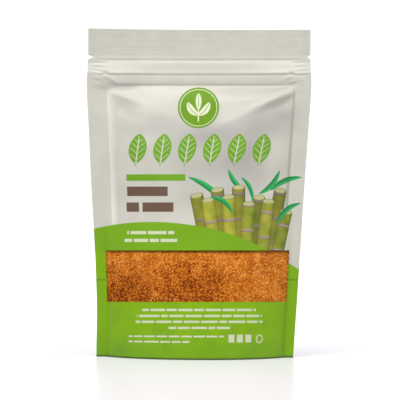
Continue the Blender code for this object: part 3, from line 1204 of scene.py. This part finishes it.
    def back_print_and_shade(self, plate: Plate, film: Paint) -> NodeSocket:
        """Draws the back panel: the green base goes on, with plain panels above and on it, and painted shade
        at its lower edge.

        Args:
            plate: The print's material and coordinates.
            film: The unprinted film's colour.

        Returns:
            The printed colour.
        """
        ink, across, up, pitch = self.ink, plate.across, plate.up, self.row_pitch
        low, high = self.back_rows[2:]
        colour = self.green_base(plate, film, ink.green)
        colour = plate.lay(colour, plate.box(*self.back_panel).between(0.0, 0.9), ink.deep_green)
        row = ((up - low) / pitch).floor()
        shifted = Plate(plate.finish, across + row * self.row_shift, up)
        words = WordLine(-60.0, 460.0, low, high, 9.0, 17.0).draw(shifted)
        words = words.least((up - low).rest(pitch).between(1.8, 4.2)).least(plate.box(*self.back_rows))
        colour = plate.lay(colour, words, ink.brown, 0.4)
        colour = plate.lay(colour, plate.box(*self.back_label), ink.pale)
        return self.bottom_contact_shade(plate, colour)

    def build(self) -> Material:
        """Makes the film's material.

        Returns:
            The finished material.
        """
        finish = Finish(self.name)
        place = finish.object_place()
        plate = Plate(finish, *finish.film_place())
        mottle = finish.noise(place, 24 * MM, 3.0)
        film = finish.mix(mottle.ramp(0.35, 0.65, 0.0, 0.15), self.ink.cream, self.ink.grey)
        draw = self.front_print_and_shade if self.side is Side.FRONT else self.back_print_and_shade
        finish.feed("Base Color", draw(plate, film))
        sheen = finish.noise(place, 5 * MM, 2.0)
        finish.feed("Roughness", sheen.ramp(0.3, 0.7, self.roughness - 0.05, self.roughness + 0.06))
        finish.set(specular_ior_level=0.2, metallic=0.0)
        peel = finish.noise(place, 1.3 * MM, 2.0)
        crinkle = finish.noise(place, 7 * MM, 3.0)
        finish.bump((crinkle, 0.25 * MM, 0.35), (peel, 0.03 * MM, 0.35))
        return finish.material


@dataclass(frozen=True)
class PlainFilm:
    """The film's plain inner side, as on the folded bottom and the seal's ribs."""

    name: str
    colour: Colour
    deeper: Colour
    roughness: float = 0.42

    def build(self) -> Material:
        """Makes the material.

        Returns:
            The finished material.
        """
        finish = Finish(self.name)
        place = finish.object_place()
        finish.feed("Base Color", finish.mix(finish.noise(place, 14 * MM, 3.0), self.colour, self.deeper))
        sheen = finish.noise(place, 4 * MM)
        finish.feed_roughness(sheen, self.roughness)
        finish.bump((finish.noise(place, 6 * MM, 3.0), 0.2 * MM, 0.3), (sheen, 0.04 * MM, 0.3))
        return finish.material


@dataclass(frozen=True)
class ClearFilm:
    """The unprinted film of the window. It reflects a little and blurs nothing."""

    name: str = "clear_film"
    colour: Colour = (0.95, 0.95, 0.94)
    shine: float = 0.002
    roughness: float = 0.12

    def build(self) -> Material:
        """Makes the material.

        Returns:
            The finished material.
        """
        finish = Finish(self.name)
        place = finish.object_place()
        finish.set(base_color=self.colour, metallic=1.0, alpha=self.shine)
        finish.feed_roughness(finish.noise(place, 12 * MM), self.roughness, 0.03, 0.05)
        finish.bump((finish.noise(place, 9 * MM), 0.4 * MM, 0.3))
        return finish.material


@dataclass(frozen=True)
class SugarFinish:
    """Raw cane sugar, from dark molasses brown to light amber, darker in two damp heaps, with painted shadow
    along the window's top edge.
    """

    name: str
    dark: Colour = (0.250, 0.034, 0.003)
    middle: Colour = (0.690, 0.200, 0.015)
    light: Colour = (1.000, 0.490, 0.090)
    painted_shadow: Colour = (0.240, 0.085, 0.003)
    gleam: Colour = (1.0, 0.52, 0.16)
    heaps: tuple[Oval, Oval] = (
        Oval((-0.060, 0.054), (0.044, 0.030), 0.15, 1.0, 1.1),
        Oval((-0.006, 0.061), (0.050, 0.031), 0.15, 1.0, 1.1),
    )
    shadow_rise: Place = (0.0915, 0.0965)
    lightness: float = 0.0
    spread: float = 0.78
    roughness: float = 0.42

    def build(self) -> Material:
        """Makes the material.

        Returns:
            The finished material.
        """
        finish = Finish(self.name)
        place = finish.object_place()
        x, _, z = finish.split(place)
        left_heap, middle_heap = (heap.draw(x, z) for heap in self.heaps)
        damp = left_heap.most(middle_heap)
        grain = (finish.attribute(SHADE) - 0.5) * (damp * 0.3 + 0.8) * self.spread
        patch = finish.noise(place, 9 * MM).ramp(0.3, 0.7, -0.13, 0.13)
        tone = grain + patch - damp * 0.30 - x.ramp(-0.09, 0.05, 0.03, 0.0) + (0.60 + self.lightness)
        colour = finish.mix(tone.ramp(0.0, 0.5), self.dark, self.middle)
        colour = finish.mix(tone.ramp(0.45, 1.0), colour, self.light)
        # Painted shadow along the window's top edge, where the printed film shades the sugar.
        finish.feed("Base Color", finish.mix(z.ramp(*self.shadow_rise, 0.0, 0.75), colour, self.painted_shadow))
        sheen = finish.noise(place, 0.9 * MM)
        finish.feed("Roughness", sheen.ramp(0.2, 0.8, self.roughness - 0.12, self.roughness + 0.25))
        finish.set(specular_ior_level=0.12, specular_tint=self.gleam)
        finish.bump((finish.noise(place, 0.5 * MM), 0.12 * MM, 0.5))
        return finish.material


class GrowthTree:
    """A Geometry Nodes tree with named inputs, whose result is kept as a plain mesh."""

    def __init__(self, name: str, host: str, result: str, values: dict[str, Union[int, float]]) -> None:
        """Makes the tree with its inputs.

        Args:
            name: The name of the tree and of the piece.
            host: What the input for the host's mesh is called.
            result: What the output is called.
            values: The other inputs' values by name.
        """
        self.name = name
        self.values = values
        self.tree = bpy.data.node_groups.new(name, "GeometryNodeTree")
        sockets = {title: "Int" if isinstance(value, int) else "Float" for title, value in values.items()}
        for title, kind in {host: "Geometry", **sockets}.items():
            self.tree.interface.new_socket(title, in_out="INPUT", socket_type="NodeSocket" + kind)
        self.tree.interface.new_socket(result, in_out="OUTPUT", socket_type="NodeSocketGeometry")
        self.inputs = self.add("NodeGroupInput").outputs

    def add(self, kind: str, inputs: Optional[Inputs] = None, **settings: object) -> Node:
        """Adds a node with its inputs and settings."""
        return add_node(self.tree, kind, inputs, **settings)

    def chance(self, kind: str, low: object, high: object, offset: int) -> NodeSocket:
        """Adds a seeded random value.

        Args:
            kind: Its data type.
            low: The least value.
            high: The greatest value.
            offset: Added to the seed.

        Returns:
            The value.
        """
        first = 0 if kind == "FLOAT_VECTOR" else 2
        seed = self.add("FunctionNodeIntegerMath", {0: self.inputs["Seed"], 1: offset})
        inputs = {first: low, first + 1: high, "Seed": seed}
        return self.add("FunctionNodeRandomValue", inputs, data_type=kind).outputs[first // 2]

    def grow(self, host: Object, last: Node, material: Material) -> Object:
        """Ends the tree, runs it on a host and keeps its result.

        Args:
            host: The object whose mesh the tree reads.
            last: The node whose geometry is kept.
            material: The result's finish.

        Returns:
            The new object, without a modifier.
        """
        real = self.add("GeometryNodeRealizeInstances", {0: last})
        dressed = self.add("GeometryNodeSetMaterial", {"Geometry": real, "Material": material})
        self.add("NodeGroupOutput", {0: dressed})
        made = bpy.data.objects.new(self.name, host.data.copy())
        bpy.context.scene.collection.objects.link(made)
        modifier = made.modifiers.new(self.name, "NODES")
        modifier.node_group = self.tree
        for item in self.tree.interface.items_tree:
            if item.in_out == "INPUT" and item.name in self.values:
                modifier[item.identifier] = self.values[item.name]
        depsgraph = bpy.context.evaluated_depsgraph_get()
        mesh = bpy.data.meshes.new_from_object(made.evaluated_get(depsgraph), depsgraph=depsgraph)
        made.modifiers.remove(modifier)
        made.data = mesh
        mesh.name = self.name
        return made


@dataclass
class GrainWork:
    """Scatters grains over a bed with Geometry Nodes. Sizes and the rise above the bed are in millimetres."""

    name: str
    spacing: float
    density: float
    sizes: Place
    rise: Place
    cubes: bool
    seed: int
    material: Material
    factor: str = ""
    ball_radius: float = 0.55

    def build(self, bed: Object) -> Object:
        """Scatters the grains over the bed.

        Args:
            bed: The surface that the grains lie on.

        Returns:
            All grains as one plain mesh.
        """
        values = {"Spacing": self.spacing * MM, "Density": self.density, "Seed": self.seed}
        tree = GrowthTree(self.name, "Bed", "Grains", values)
        places = {
            "Mesh": tree.inputs["Bed"],
            "Distance Min": tree.inputs["Spacing"],
            "Density Max": tree.inputs["Density"],
            "Seed": tree.inputs["Seed"],
        }
        if self.factor:
            share = tree.add("GeometryNodeInputNamedAttribute", {"Name": self.factor}, data_type="FLOAT")
            places["Density Factor"] = share.outputs["Attribute"]
        scatter = tree.add("GeometryNodeDistributePointsOnFaces", places, distribute_method="POISSON")
        lift = tree.chance("FLOAT", self.rise[0] * MM, self.rise[1] * MM, 1)
        away = {0: scatter.outputs["Normal"], "Scale": lift}
        away = tree.add("ShaderNodeVectorMath", away, operation="SCALE")
        raised = tree.add("GeometryNodeSetPosition", {"Geometry": scatter, "Offset": away})
        if self.cubes:
            grain = tree.add("GeometryNodeMeshCube")
        else:
            grain = tree.add("GeometryNodeMeshIcoSphere", {"Radius": self.ball_radius})
        turn = tree.chance("FLOAT_VECTOR", (0, 0, 0), (6.283,) * 3, 2)
        size = tree.chance("FLOAT_VECTOR", *((size * MM,) * 3 for size in self.sizes), 3)
        spread = {"Points": raised, "Instance": grain, "Rotation": turn, "Scale": size}
        note = {"Geometry": tree.add("GeometryNodeInstanceOnPoints", spread), "Name": SHADE}
        note["Value"] = tree.chance("FLOAT", 0.0, 1.0, 4)
        note = tree.add("GeometryNodeStoreNamedAttribute", note, data_type="FLOAT", domain="INSTANCE")
        return tree.grow(bed, note, self.material)


@dataclass
class Pouch:
    """The film of the pouch: both panels, the folded bottom and the header's ribs."""

    front: Panel
    back: Panel
    rib_pitch: float = 1.6 * MM
    rib_width: float = 0.8 * MM
    rib_height: float = 0.06 * MM
    rib_margin: float = 1.2 * MM
    rib_columns: int = 90
    gusset_film: float = 0.2 * MM
    gusset_pitch: float = 1.2 * MM
    edge_pitch: float = 1.0 * MM
    middle_pitch: float = 1.9 * MM
    middle_half: float = 58 * MM
    body_pitch: float = 1.8 * MM

    def columns(self) -> Array:
        """The film coordinates of a panel's columns, closer near its edges."""
        form = self.front.form
        left = (-form.half, -form.seal_edge, -form.window_half, form.crease_left)
        right = (self.middle_half, form.crease_right, form.window_half, form.seal_edge, form.half)
        stops = [(stop, self.edge_pitch) for stop in (*left, -self.middle_half, *right)]
        stops[len(left)] = (-self.middle_half, self.middle_pitch)
        return spaced(*stops)

    def rows(self) -> Array:
        """The heights of a panel's rows, closer at the zip."""
        form, body = self.front.form, self.body_pitch
        return spaced(
            (0.0, body),
            (form.window_low, body),
            (form.window_high, body),
            (222 * MM, 1.2 * MM),
            (238 * MM, 0.4 * MM),
            (form.notch_height - form.notch_reach, 0.5 * MM),
            (form.notch_height, 0.5 * MM),
            (form.notch_height + form.notch_reach, 2 * MM),
            (form.height, body),
        )

    def sheet(self, name: str, panel: Panel, material: Material, window: bool) -> Object:
        """Makes one panel's film as a closed shell.

        Args:
            name: The piece's name.
            panel: The panel's shape.
            material: Its finish.
            window: Whether the window is cut out of it.

        Returns:
            The new object.
        """
        form = panel.form
        columns, rows = self.columns(), self.rows()
        across, up = np.meshgrid(columns, rows, indexing="ij")
        faces = MeshWork.quads(len(columns), len(rows), panel.side is Side.BACK)
        if window:
            wide, tall = (columns[:-1] + columns[1:]) / 2, (rows[:-1] + rows[1:]) / 2
            beside = np.abs(wide) < form.window_half
            above = (tall > form.window_low) & (tall < form.window_high)
            faces = faces[~(beside[:, None] & above[None, :])]
        inner = panel.points(across, up, panel.thickness(across, up))
        film_map = np.stack([across.ravel(), up.ravel()], axis=-1)
        return MeshWork.slab(name, panel.points(across, up), inner, material, faces, film_map)

    def gusset_half(self, panel: Panel, columns: Array, inwards: float) -> Array:
        """Works out one half of each section, from the floor to the middle of the folded bottom.

        Args:
            panel: The panel that this half is sealed to.
            columns: The sections' film coordinates across.
            inwards: How far inside the panel's face the half starts.

        Returns:
            The points, by column and then along the section.
        """
        form, side, start = panel.form, panel.side.value, panel.form.base_flat_start
        leg, base = form.leg_height(columns / form.seal_edge), form.base_height(columns / form.seal_edge)
        across, share = np.meshgrid(columns, np.linspace(0, 1, 8), indexing="ij")
        up = share * leg[:, None]
        rise = panel.points(across, up, inwards)
        room = form.bow(rise[..., 0], up)
        rise[..., 1] = room + side * np.maximum(side * (rise[..., 1] - room), 0.02 * MM)
        head = rise[:, -1]
        steps = np.concatenate([np.linspace(0, start, 9)[1:], np.linspace(start, 1.0, 7)[1:]])
        drop = np.maximum(0.0, 1 - steps / start) ** 2
        lift = form.film + self.gusset_film + 0.03 * MM - inwards
        height = base[:, None] + (leg - base)[:, None] * drop[None, :] + lift
        y = head[:, 1:2] * (1 - steps)[None, :]
        x = np.repeat(head[:, :1], len(steps), axis=1)
        return np.concatenate([rise, np.stack([x, y, height], axis=-1)], axis=1)

    def gusset(self, name: str, material: Material) -> Object:
        """Makes the folded bottom, sealed to the legs of both panels.

        Args:
            name: The piece's name.
            material: Its finish.

        Returns:
            The new object.
        """
        form = self.front.form
        half = form.seal_edge - 0.2 * MM
        columns = spaced((-half, self.gusset_pitch), (half, self.gusset_pitch))
        faces = []
        for inwards in (form.film + 0.01 * MM, form.film + 0.01 * MM + self.gusset_film):
            first, second = (self.gusset_half(panel, columns, inwards) for panel in (self.front, self.back))
            faces.append(np.concatenate([first, second[:, -2::-1]], axis=1))
        return MeshWork.slab(name, *faces, material, crisp=60.0)

    def ribs(self, name: str, panel: Panel, material: Material) -> Object:
        """Makes the fine ribs that the sealing bars leave across the header.

        Args:
            name: The piece's name.
            panel: The panel that they lie on.
            material: Their finish.

        Returns:
            All ribs of this panel as one plain mesh.
        """
        form = panel.form
        half = form.half - self.rib_margin
        low, high = form.notch_height + form.notch_reach + 0.6 * MM, form.height - self.rib_margin
        heights = np.arange(low, high, self.rib_pitch)
        across, up = np.meshgrid(np.linspace(-half, half, self.rib_columns), heights, indexing="ij")
        number = np.arange(across.size).reshape(across.shape)
        edges = np.stack([number[:-1].ravel(), number[1:].ravel()], axis=-1)
        mesh = bpy.data.meshes.new(name + "_paths")
        mesh.from_pydata(panel.points(across, up).reshape(-1, 3).tolist(), edges.tolist(), [])
        paths = bpy.data.objects.new(mesh.name, mesh)

        sizes = {"Rib Width": self.rib_width, "Rib Height": 2 * self.rib_height}
        tree = GrowthTree(name, "Paths", "Ribs", sizes)
        path = tree.add("GeometryNodeMeshToCurve", {"Mesh": tree.inputs["Paths"]})
        upright = tree.add("GeometryNodeSetCurveNormal", {"Curve": path}, mode="Z_UP")
        circle = tree.add("GeometryNodeCurvePrimitiveCircle", {"Resolution": 8, "Radius": 0.5})
        flat = {"X": tree.inputs["Rib Height"], "Y": tree.inputs["Rib Width"], "Z": 1.0}
        flat = tree.add("ShaderNodeCombineXYZ", flat)
        oval = tree.add("GeometryNodeTransform", {"Geometry": circle, "Scale": flat})
        sweep = {"Curve": upright, "Profile Curve": oval, "Fill Caps": True}
        made = tree.grow(paths, tree.add("GeometryNodeCurveToMesh", sweep), material)
        bpy.data.objects.remove(paths)
        made.data.shade_smooth()
        return made


@dataclass
class SugarFill:
    """The sugar behind the window: a bed of fine sugar with crystals and lumps on it.

    The heaps say where lumps are common. A heap's height is the share of them that it adds.
    """

    panel: Panel
    material: Material
    flecks: Material
    margin: float = 2.0 * MM
    depth: float = 1.4 * MM
    back_depth: float = 1.0 * MM
    sag: float = 1.7 * MM
    roughness: float = 0.22 * MM
    seed: int = 11
    coarse_share: float = 0.25
    heaps: tuple[Dent, Dent] = (Dent((-55, 58), (30, 16), 0.75), Dent((-5, 60), (24, 13), 0.7))

    def depth_at(self, across: Array, up: Array) -> Array:
        """Works out how deep the bed lies. It sags a little at the window's top edge.

        Args:
            across: Film coordinates across the panel.
            up: Heights on the panel.

        Returns:
            The depth behind the film's face.
        """
        top = self.panel.form.window_high
        step = 0.5 * MM
        slope = (self.panel.out(across + step, up) - self.panel.out(across - step, up)) / (2 * step)
        rough = self.roughness * np.random.default_rng(self.seed).uniform(0, 1, across.shape)
        sag = self.sag * smooth(top - 4.0 * MM, top + 1.0 * MM, up)
        return self.depth * np.hypot(1.0, slope) + rough + sag

    def window_grid(self, margin_across: float, margin_up: float, pitch: Place) -> list[Array]:
        """Gives the film coordinates of a grid over the window and its margins."""
        form = self.panel.form
        low, high = form.window_low - margin_up, form.window_high + margin_up
        return grid(form.window_half + margin_across, low, high, pitch)

    def bed(self, name: str) -> Object:
        """Makes the bed as a closed slab behind the window.

        Args:
            name: The piece's name.

        Returns:
            The new object.
        """
        across, up = self.window_grid(self.margin, self.margin, (0.8 * MM, 0.8 * MM))
        depth = self.depth_at(across, up)
        room = self.panel.out(across, up) - 0.05 * MM
        outer = self.panel.points(across, up, np.minimum(depth, room))
        inner = self.panel.points(across, up, np.minimum(depth + self.back_depth, room + 0.04 * MM))
        made = MeshWork.slab(name, outer, inner, self.material, crisp=30.0)
        chance = np.random.default_rng(self.seed + 1)
        MeshWork.note(made, SHADE, chance.uniform(0, 0.7, len(made.data.vertices)))
        return made

    def scatter_face(self) -> Object:
        """Makes the surface that the grains are scattered on, with a share of coarse grains.

        Returns:
            An object for the Geometry Nodes alone, which isn't a piece.
        """
        across, up = self.window_grid(self.margin * 0.1, self.margin * 0.4, (1.5 * MM, 1.5 * MM))
        room = np.maximum(self.panel.out(across, up) - 0.9 * MM, 0.2 * MM)
        points = self.panel.points(across, up, np.minimum(self.depth_at(across, up), room))
        faces = MeshWork.quads(*across.shape).reshape(-1, 4)
        made = MeshWork.make("scatter_face", points.reshape(-1, 3), faces, self.material)
        coarse = self.coarse_share + sum(heap.height * heap.share(across, up) for heap in self.heaps)
        MeshWork.note(made, COARSE, np.clip(coarse, 0, 1).ravel())
        return made

    def build(self) -> list[Object]:
        """Makes the bed and its grains.

        Returns:
            The pieces of sugar.
        """
        face = self.scatter_face()
        sugar = self.material
        kinds = (
            ("sugar_crystals", 0.78, 2.4e6, (0.65, 1.35), (-0.4, 0.12), True, self.seed + 2, sugar),
            ("sugar_lumps", 1.9, 2.6e5, (1.1, 2.1), (-0.75, -0.3), False, self.seed + 3, sugar, COARSE),
            ("sugar_flecks", 3.2, 5.0e4, (0.7, 1.3), (0.0, 0.15), True, self.seed + 4, self.flecks),
        )
        pieces = [self.bed("sugar_bed"), *(GrainWork(*kind).build(face) for kind in kinds)]
        bpy.data.objects.remove(face)
        return pieces

    def pane(self, name: str, material: Material) -> Object:
        """Makes the clear film over the sugar, a little wider than the window.

        Args:
            name: The piece's name.
            material: Its finish.

        Returns:
            The new object.
        """
        across, up = self.window_grid(1.2 * MM, 1.5 * MM, (1.5 * MM, 1.8 * MM))
        film = self.panel.form.film
        outer, inner = (self.panel.points(across, up, film + depth) for depth in (0.02 * MM, 0.10 * MM))
        return MeshWork.slab(name, outer, inner, material)


@dataclass(frozen=True)
class SoftLight:
    """A large soft light that looks at the pouch's middle."""

    name: str
    place: Colour
    size: float
    power: float
    target: Colour = (0.0, 0.0, 0.15)

    def build(self) -> None:
        """Adds the light to the scene."""
        data = bpy.data.lights.new(self.name, "AREA")
        data.shape = "SQUARE"
        data.size = self.size
        data.energy = self.power
        lamp = bpy.data.objects.new(self.name, data)
        lamp.location = self.place
        aim = Vector(self.target) - Vector(self.place)
        lamp.rotation_euler = aim.to_track_quat("-Z", "Y").to_euler()
        bpy.context.scene.collection.objects.link(lamp)


@dataclass
class Studio:
    """The pale floor, soft light, white surroundings and camera."""

    white: Colour = (1.0, 1.0, 1.0)
    floor_half: float = 4.0
    sky: float = 0.60
    ground: float = 0.50
    horizon: float = 1.15
    floor_colour: Colour = (0.892, 0.855, 0.935)
    floor_shine: float = 0.42
    floor_roughness: float = 0.26
    floor_glow: tuple[float, float] = (0.14, 0.9)
    focal_length: float = 202.3
    camera_place: Colour = (0.00142, -2.0, 0.13977)
    camera_roll: float = -0.006
    lights: tuple[SoftLight, ...] = (
        SoftLight("key_light", (-0.8, -1.3, 1.7), 0.9, 21.0),
        SoftLight("top_light", (0.2, -0.6, 2.0), 0.8, 12.0),
        SoftLight("fill_light", (1.7, -1.1, 0.8), 1.0, 5.0),
    )

    def surroundings(self) -> None:
        """Makes the world: plain soft light with a white horizon behind the pouch."""
        world = bpy.data.worlds.new("studio")
        world.use_nodes = True
        tree = world.node_tree
        place = add_node(tree, "ShaderNodeTexCoord").outputs["Generated"]
        _, ahead, level = Field.parts(tree, place)
        band = level.abs().ramp(0.12, 0.2, 1.0, 0.0) * ahead.ramp(0.0, 0.3)
        even = level.ramp(-0.15, 0.15, self.ground, self.sky)
        backdrop = tree.nodes["Background"]
        backdrop.inputs["Color"].default_value = (*self.white, 1.0)
        tree.links.new((band * (-(even - self.horizon)) + even).socket, backdrop.inputs["Strength"])
        bpy.context.scene.world = world

    def floor(self) -> Object:
        """Makes the plain white floor.

        Returns:
            The floor, which isn't part of the object.
        """
        finish = Finish("floor")
        _, ahead, _ = finish.split(finish.object_place())
        finish.feed("Emission Strength", ahead.ramp(-0.05, 0.9, *self.floor_glow))
        finish.set(base_color=self.floor_colour, emission_color=self.white, metallic=self.floor_shine)
        finish.set(roughness=self.floor_roughness, specular_ior_level=0.0)
        half = self.floor_half
        corners = np.array([(-half, -half, 0), (half, -half, 0), (half, half, 0), (-half, half, 0)])
        made = MeshWork.make("floor", corners, np.array([[0, 1, 2, 3]]), finish.material)
        made.visible_diffuse = False
        return made

    def camera(self) -> None:
        """Adds the camera at the photograph's viewing angle."""
        data = bpy.data.cameras.new("camera")
        data.lens = self.focal_length
        data.sensor_width = 36.0
        data.clip_start, data.clip_end = 0.05, 50.0
        camera = bpy.data.objects.new("camera", data)
        camera.location = self.camera_place
        camera.rotation_euler = (math.pi / 2, self.camera_roll, 0.0)
        bpy.context.scene.collection.objects.link(camera)
        bpy.context.scene.camera = camera

    def build(self) -> None:
        """Builds the whole studio."""
        self.surroundings()
        for light in self.lights:
            light.build()
        self.floor()
        self.camera()
        bpy.context.scene.view_settings.view_transform = "Standard"


SHARED_FOLDS = (
    Fold((-80, 236), (-30, 218), 1.3),
    Fold((-72, 224), (-48, 204), -0.8),
    Fold((84, 236), (15, 228), 1.2),
    Fold((84, 228), (52, 210), -1.6),
)
FRONT_FOLDS = (
    Fold((-81, 236.5), (-36, 219), 0.5, 2.2),
    Fold((-80, 239.4), (-34, 240.6), -0.75, 2.0, 0.5),
    Fold((-60, 239.6), (-52, 233), -0.4, 2.2),
    Fold((84, 237.6), (30, 232.4), -1.15, 3.4, 0.5),
    Fold((87, 238.4), (36, 215.2), 1.3, 2.9, 0.55),
    Fold((86, 231), (46, 212.5), -1.1, 3.6, 0.5),
    Fold((77, 28), (90, 10), -0.7, 2.2),
)
ZIP_END_FOLDS = (
    Fold((-84.5, 251.4), (-71, 243.6), 0.5, 1.5, 0.6),
    Fold((-88, 247.6), (-74, 241.6), -0.55, 1.5, 0.6),
    Fold((83.5, 251.2), (72, 244.6), 0.5, 1.5, 0.6),
    Fold((91, 246.4), (79, 240.2), -0.6, 1.4, 0.7),
    Fold((93, 239.6), (80, 243.8), -0.4, 1.2, 0.7),
    Fold((-99, 262.2), (-80, 261.2), -0.28, 0.9, 0.7),
    Fold((-99, 258.6), (-84, 257.2), -0.3, 0.9, 0.7),
    Fold((-97, 256.2), (-83, 252.8), -0.35, 1.0, 0.7),
    Fold((-96, 250.5), (-80, 244.0), 0.3, 1.3, 0.7),
    Fold((-92, 246.5), (-76, 240.5), -0.35, 1.3, 0.7),
    Fold((99, 262.6), (82, 261.6), -0.28, 0.9, 0.7),
    Fold((99, 258.8), (83, 257.6), -0.3, 0.9, 0.7),
    Fold((99, 255.2), (83, 253.4), -0.3, 0.9, 0.7),
    Fold((99, 251.4), (84, 250.0), -0.3, 0.9, 0.7),
    Fold((94, 247.0), (80, 243.5), 0.3, 1.2, 0.7),
    Fold((-99, 68.8), (-91, 68.8), 0.15, 0.6, 0.9),
    Fold((99, 68.8), (91, 68.8), 0.15, 0.6, 0.9),
)
FRONT_DENTS = (
    Dent((-83.8, 252.6), (2.4, 1.5), -1.1),
    Dent((82.5, 252.2), (2.4, 1.5), -1.1),
    Dent((52, 196), (26, 30), -0.9),
    Dent((-10, 205), (40, 14), -0.5),
    Dent((-62, 180), (18, 40), 0.5),
    Dent((30, 30), (18, 14), 0.4),
    Dent((-30, 26), (20, 12), -0.3),
)
BACK_FOLDS = (
    Fold((-81, 235), (-28, 226), 0.6, 2.4),
    Fold((84, 232), (50, 216), -0.6, 2.6),
    Fold((-20, 240), (-34, 205), 0.5, 3.2),
)
BACK_DENTS = (
    Dent((-83, 252.6), (2.2, 1.6), -0.7),
    Dent((82.5, 252.2), (2.2, 1.6), -0.7),
    Dent((-30, 190), (30, 26), -0.8),
    Dent((40, 120), (26, 34), -0.6),
    Dent((-40, 70), (26, 22), 0.5),
)


def dress(pieces: Sequence[Object], nodes: Sequence[str]) -> None:
    """Ties finished pieces to the frame.

    Args:
        pieces: The pieces.
        nodes: The solids that they stand for.
    """
    for piece in pieces:
        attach(piece, "root")
        for node in nodes:
            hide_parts(node)
        triangles = sum(len(face.vertices) - 2 for face in piece.data.polygons)
        log.info("%s: %d triangles", piece.name, triangles)


def main() -> None:
    """Loads the frame, builds and dresses every piece, and sets up the studio."""
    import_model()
    low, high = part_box("pouch")
    form = PouchForm(width=high.x - low.x, height=high.z)

    front = Panel(form, Side.FRONT, SHARED_FOLDS + FRONT_FOLDS, ZIP_END_FOLDS + FRONT_DENTS, Sway(3))
    back = Panel(form, Side.BACK, SHARED_FOLDS + BACK_FOLDS, ZIP_END_FOLDS + BACK_DENTS, Sway(8))
    pouch = Pouch(front, back)
    front_print_and_shade = PrintedFilm("front_print_and_shade", Side.FRONT).build()
    back_print_and_shade = PrintedFilm("back_print_and_shade", Side.BACK).build()
    ink = FilmInk()
    cream = PlainFilm("rib_film", ink.cream, ink.grey).build()
    green = PlainFilm("gusset_film", ink.green, ink.deep_green).build()
    film_pieces = [
        pouch.sheet("front_film", front, front_print_and_shade, True),
        pouch.sheet("back_film", back, back_print_and_shade, False),
        pouch.gusset("gusset_film", green),
        pouch.ribs("seal_ribs_front", front, cream),
        pouch.ribs("seal_ribs_back", back, cream),
    ]
    dress(film_pieces, ["pouch"])

    sugar = SugarFinish("raw_sugar").build()
    flecks = SugarFinish("light_sugar", lightness=0.45, spread=0.35, roughness=0.3).build()
    fill = SugarFill(front, sugar, flecks)
    dress(fill.build(), ["panela_sugar"])
    dress([fill.pane("window_pane", ClearFilm().build())], ["window_film"])

    Studio().build()


if __name__ == "__main__":
    logging.basicConfig(level=logging.INFO, format="%(name)s: %(message)s")
    main()
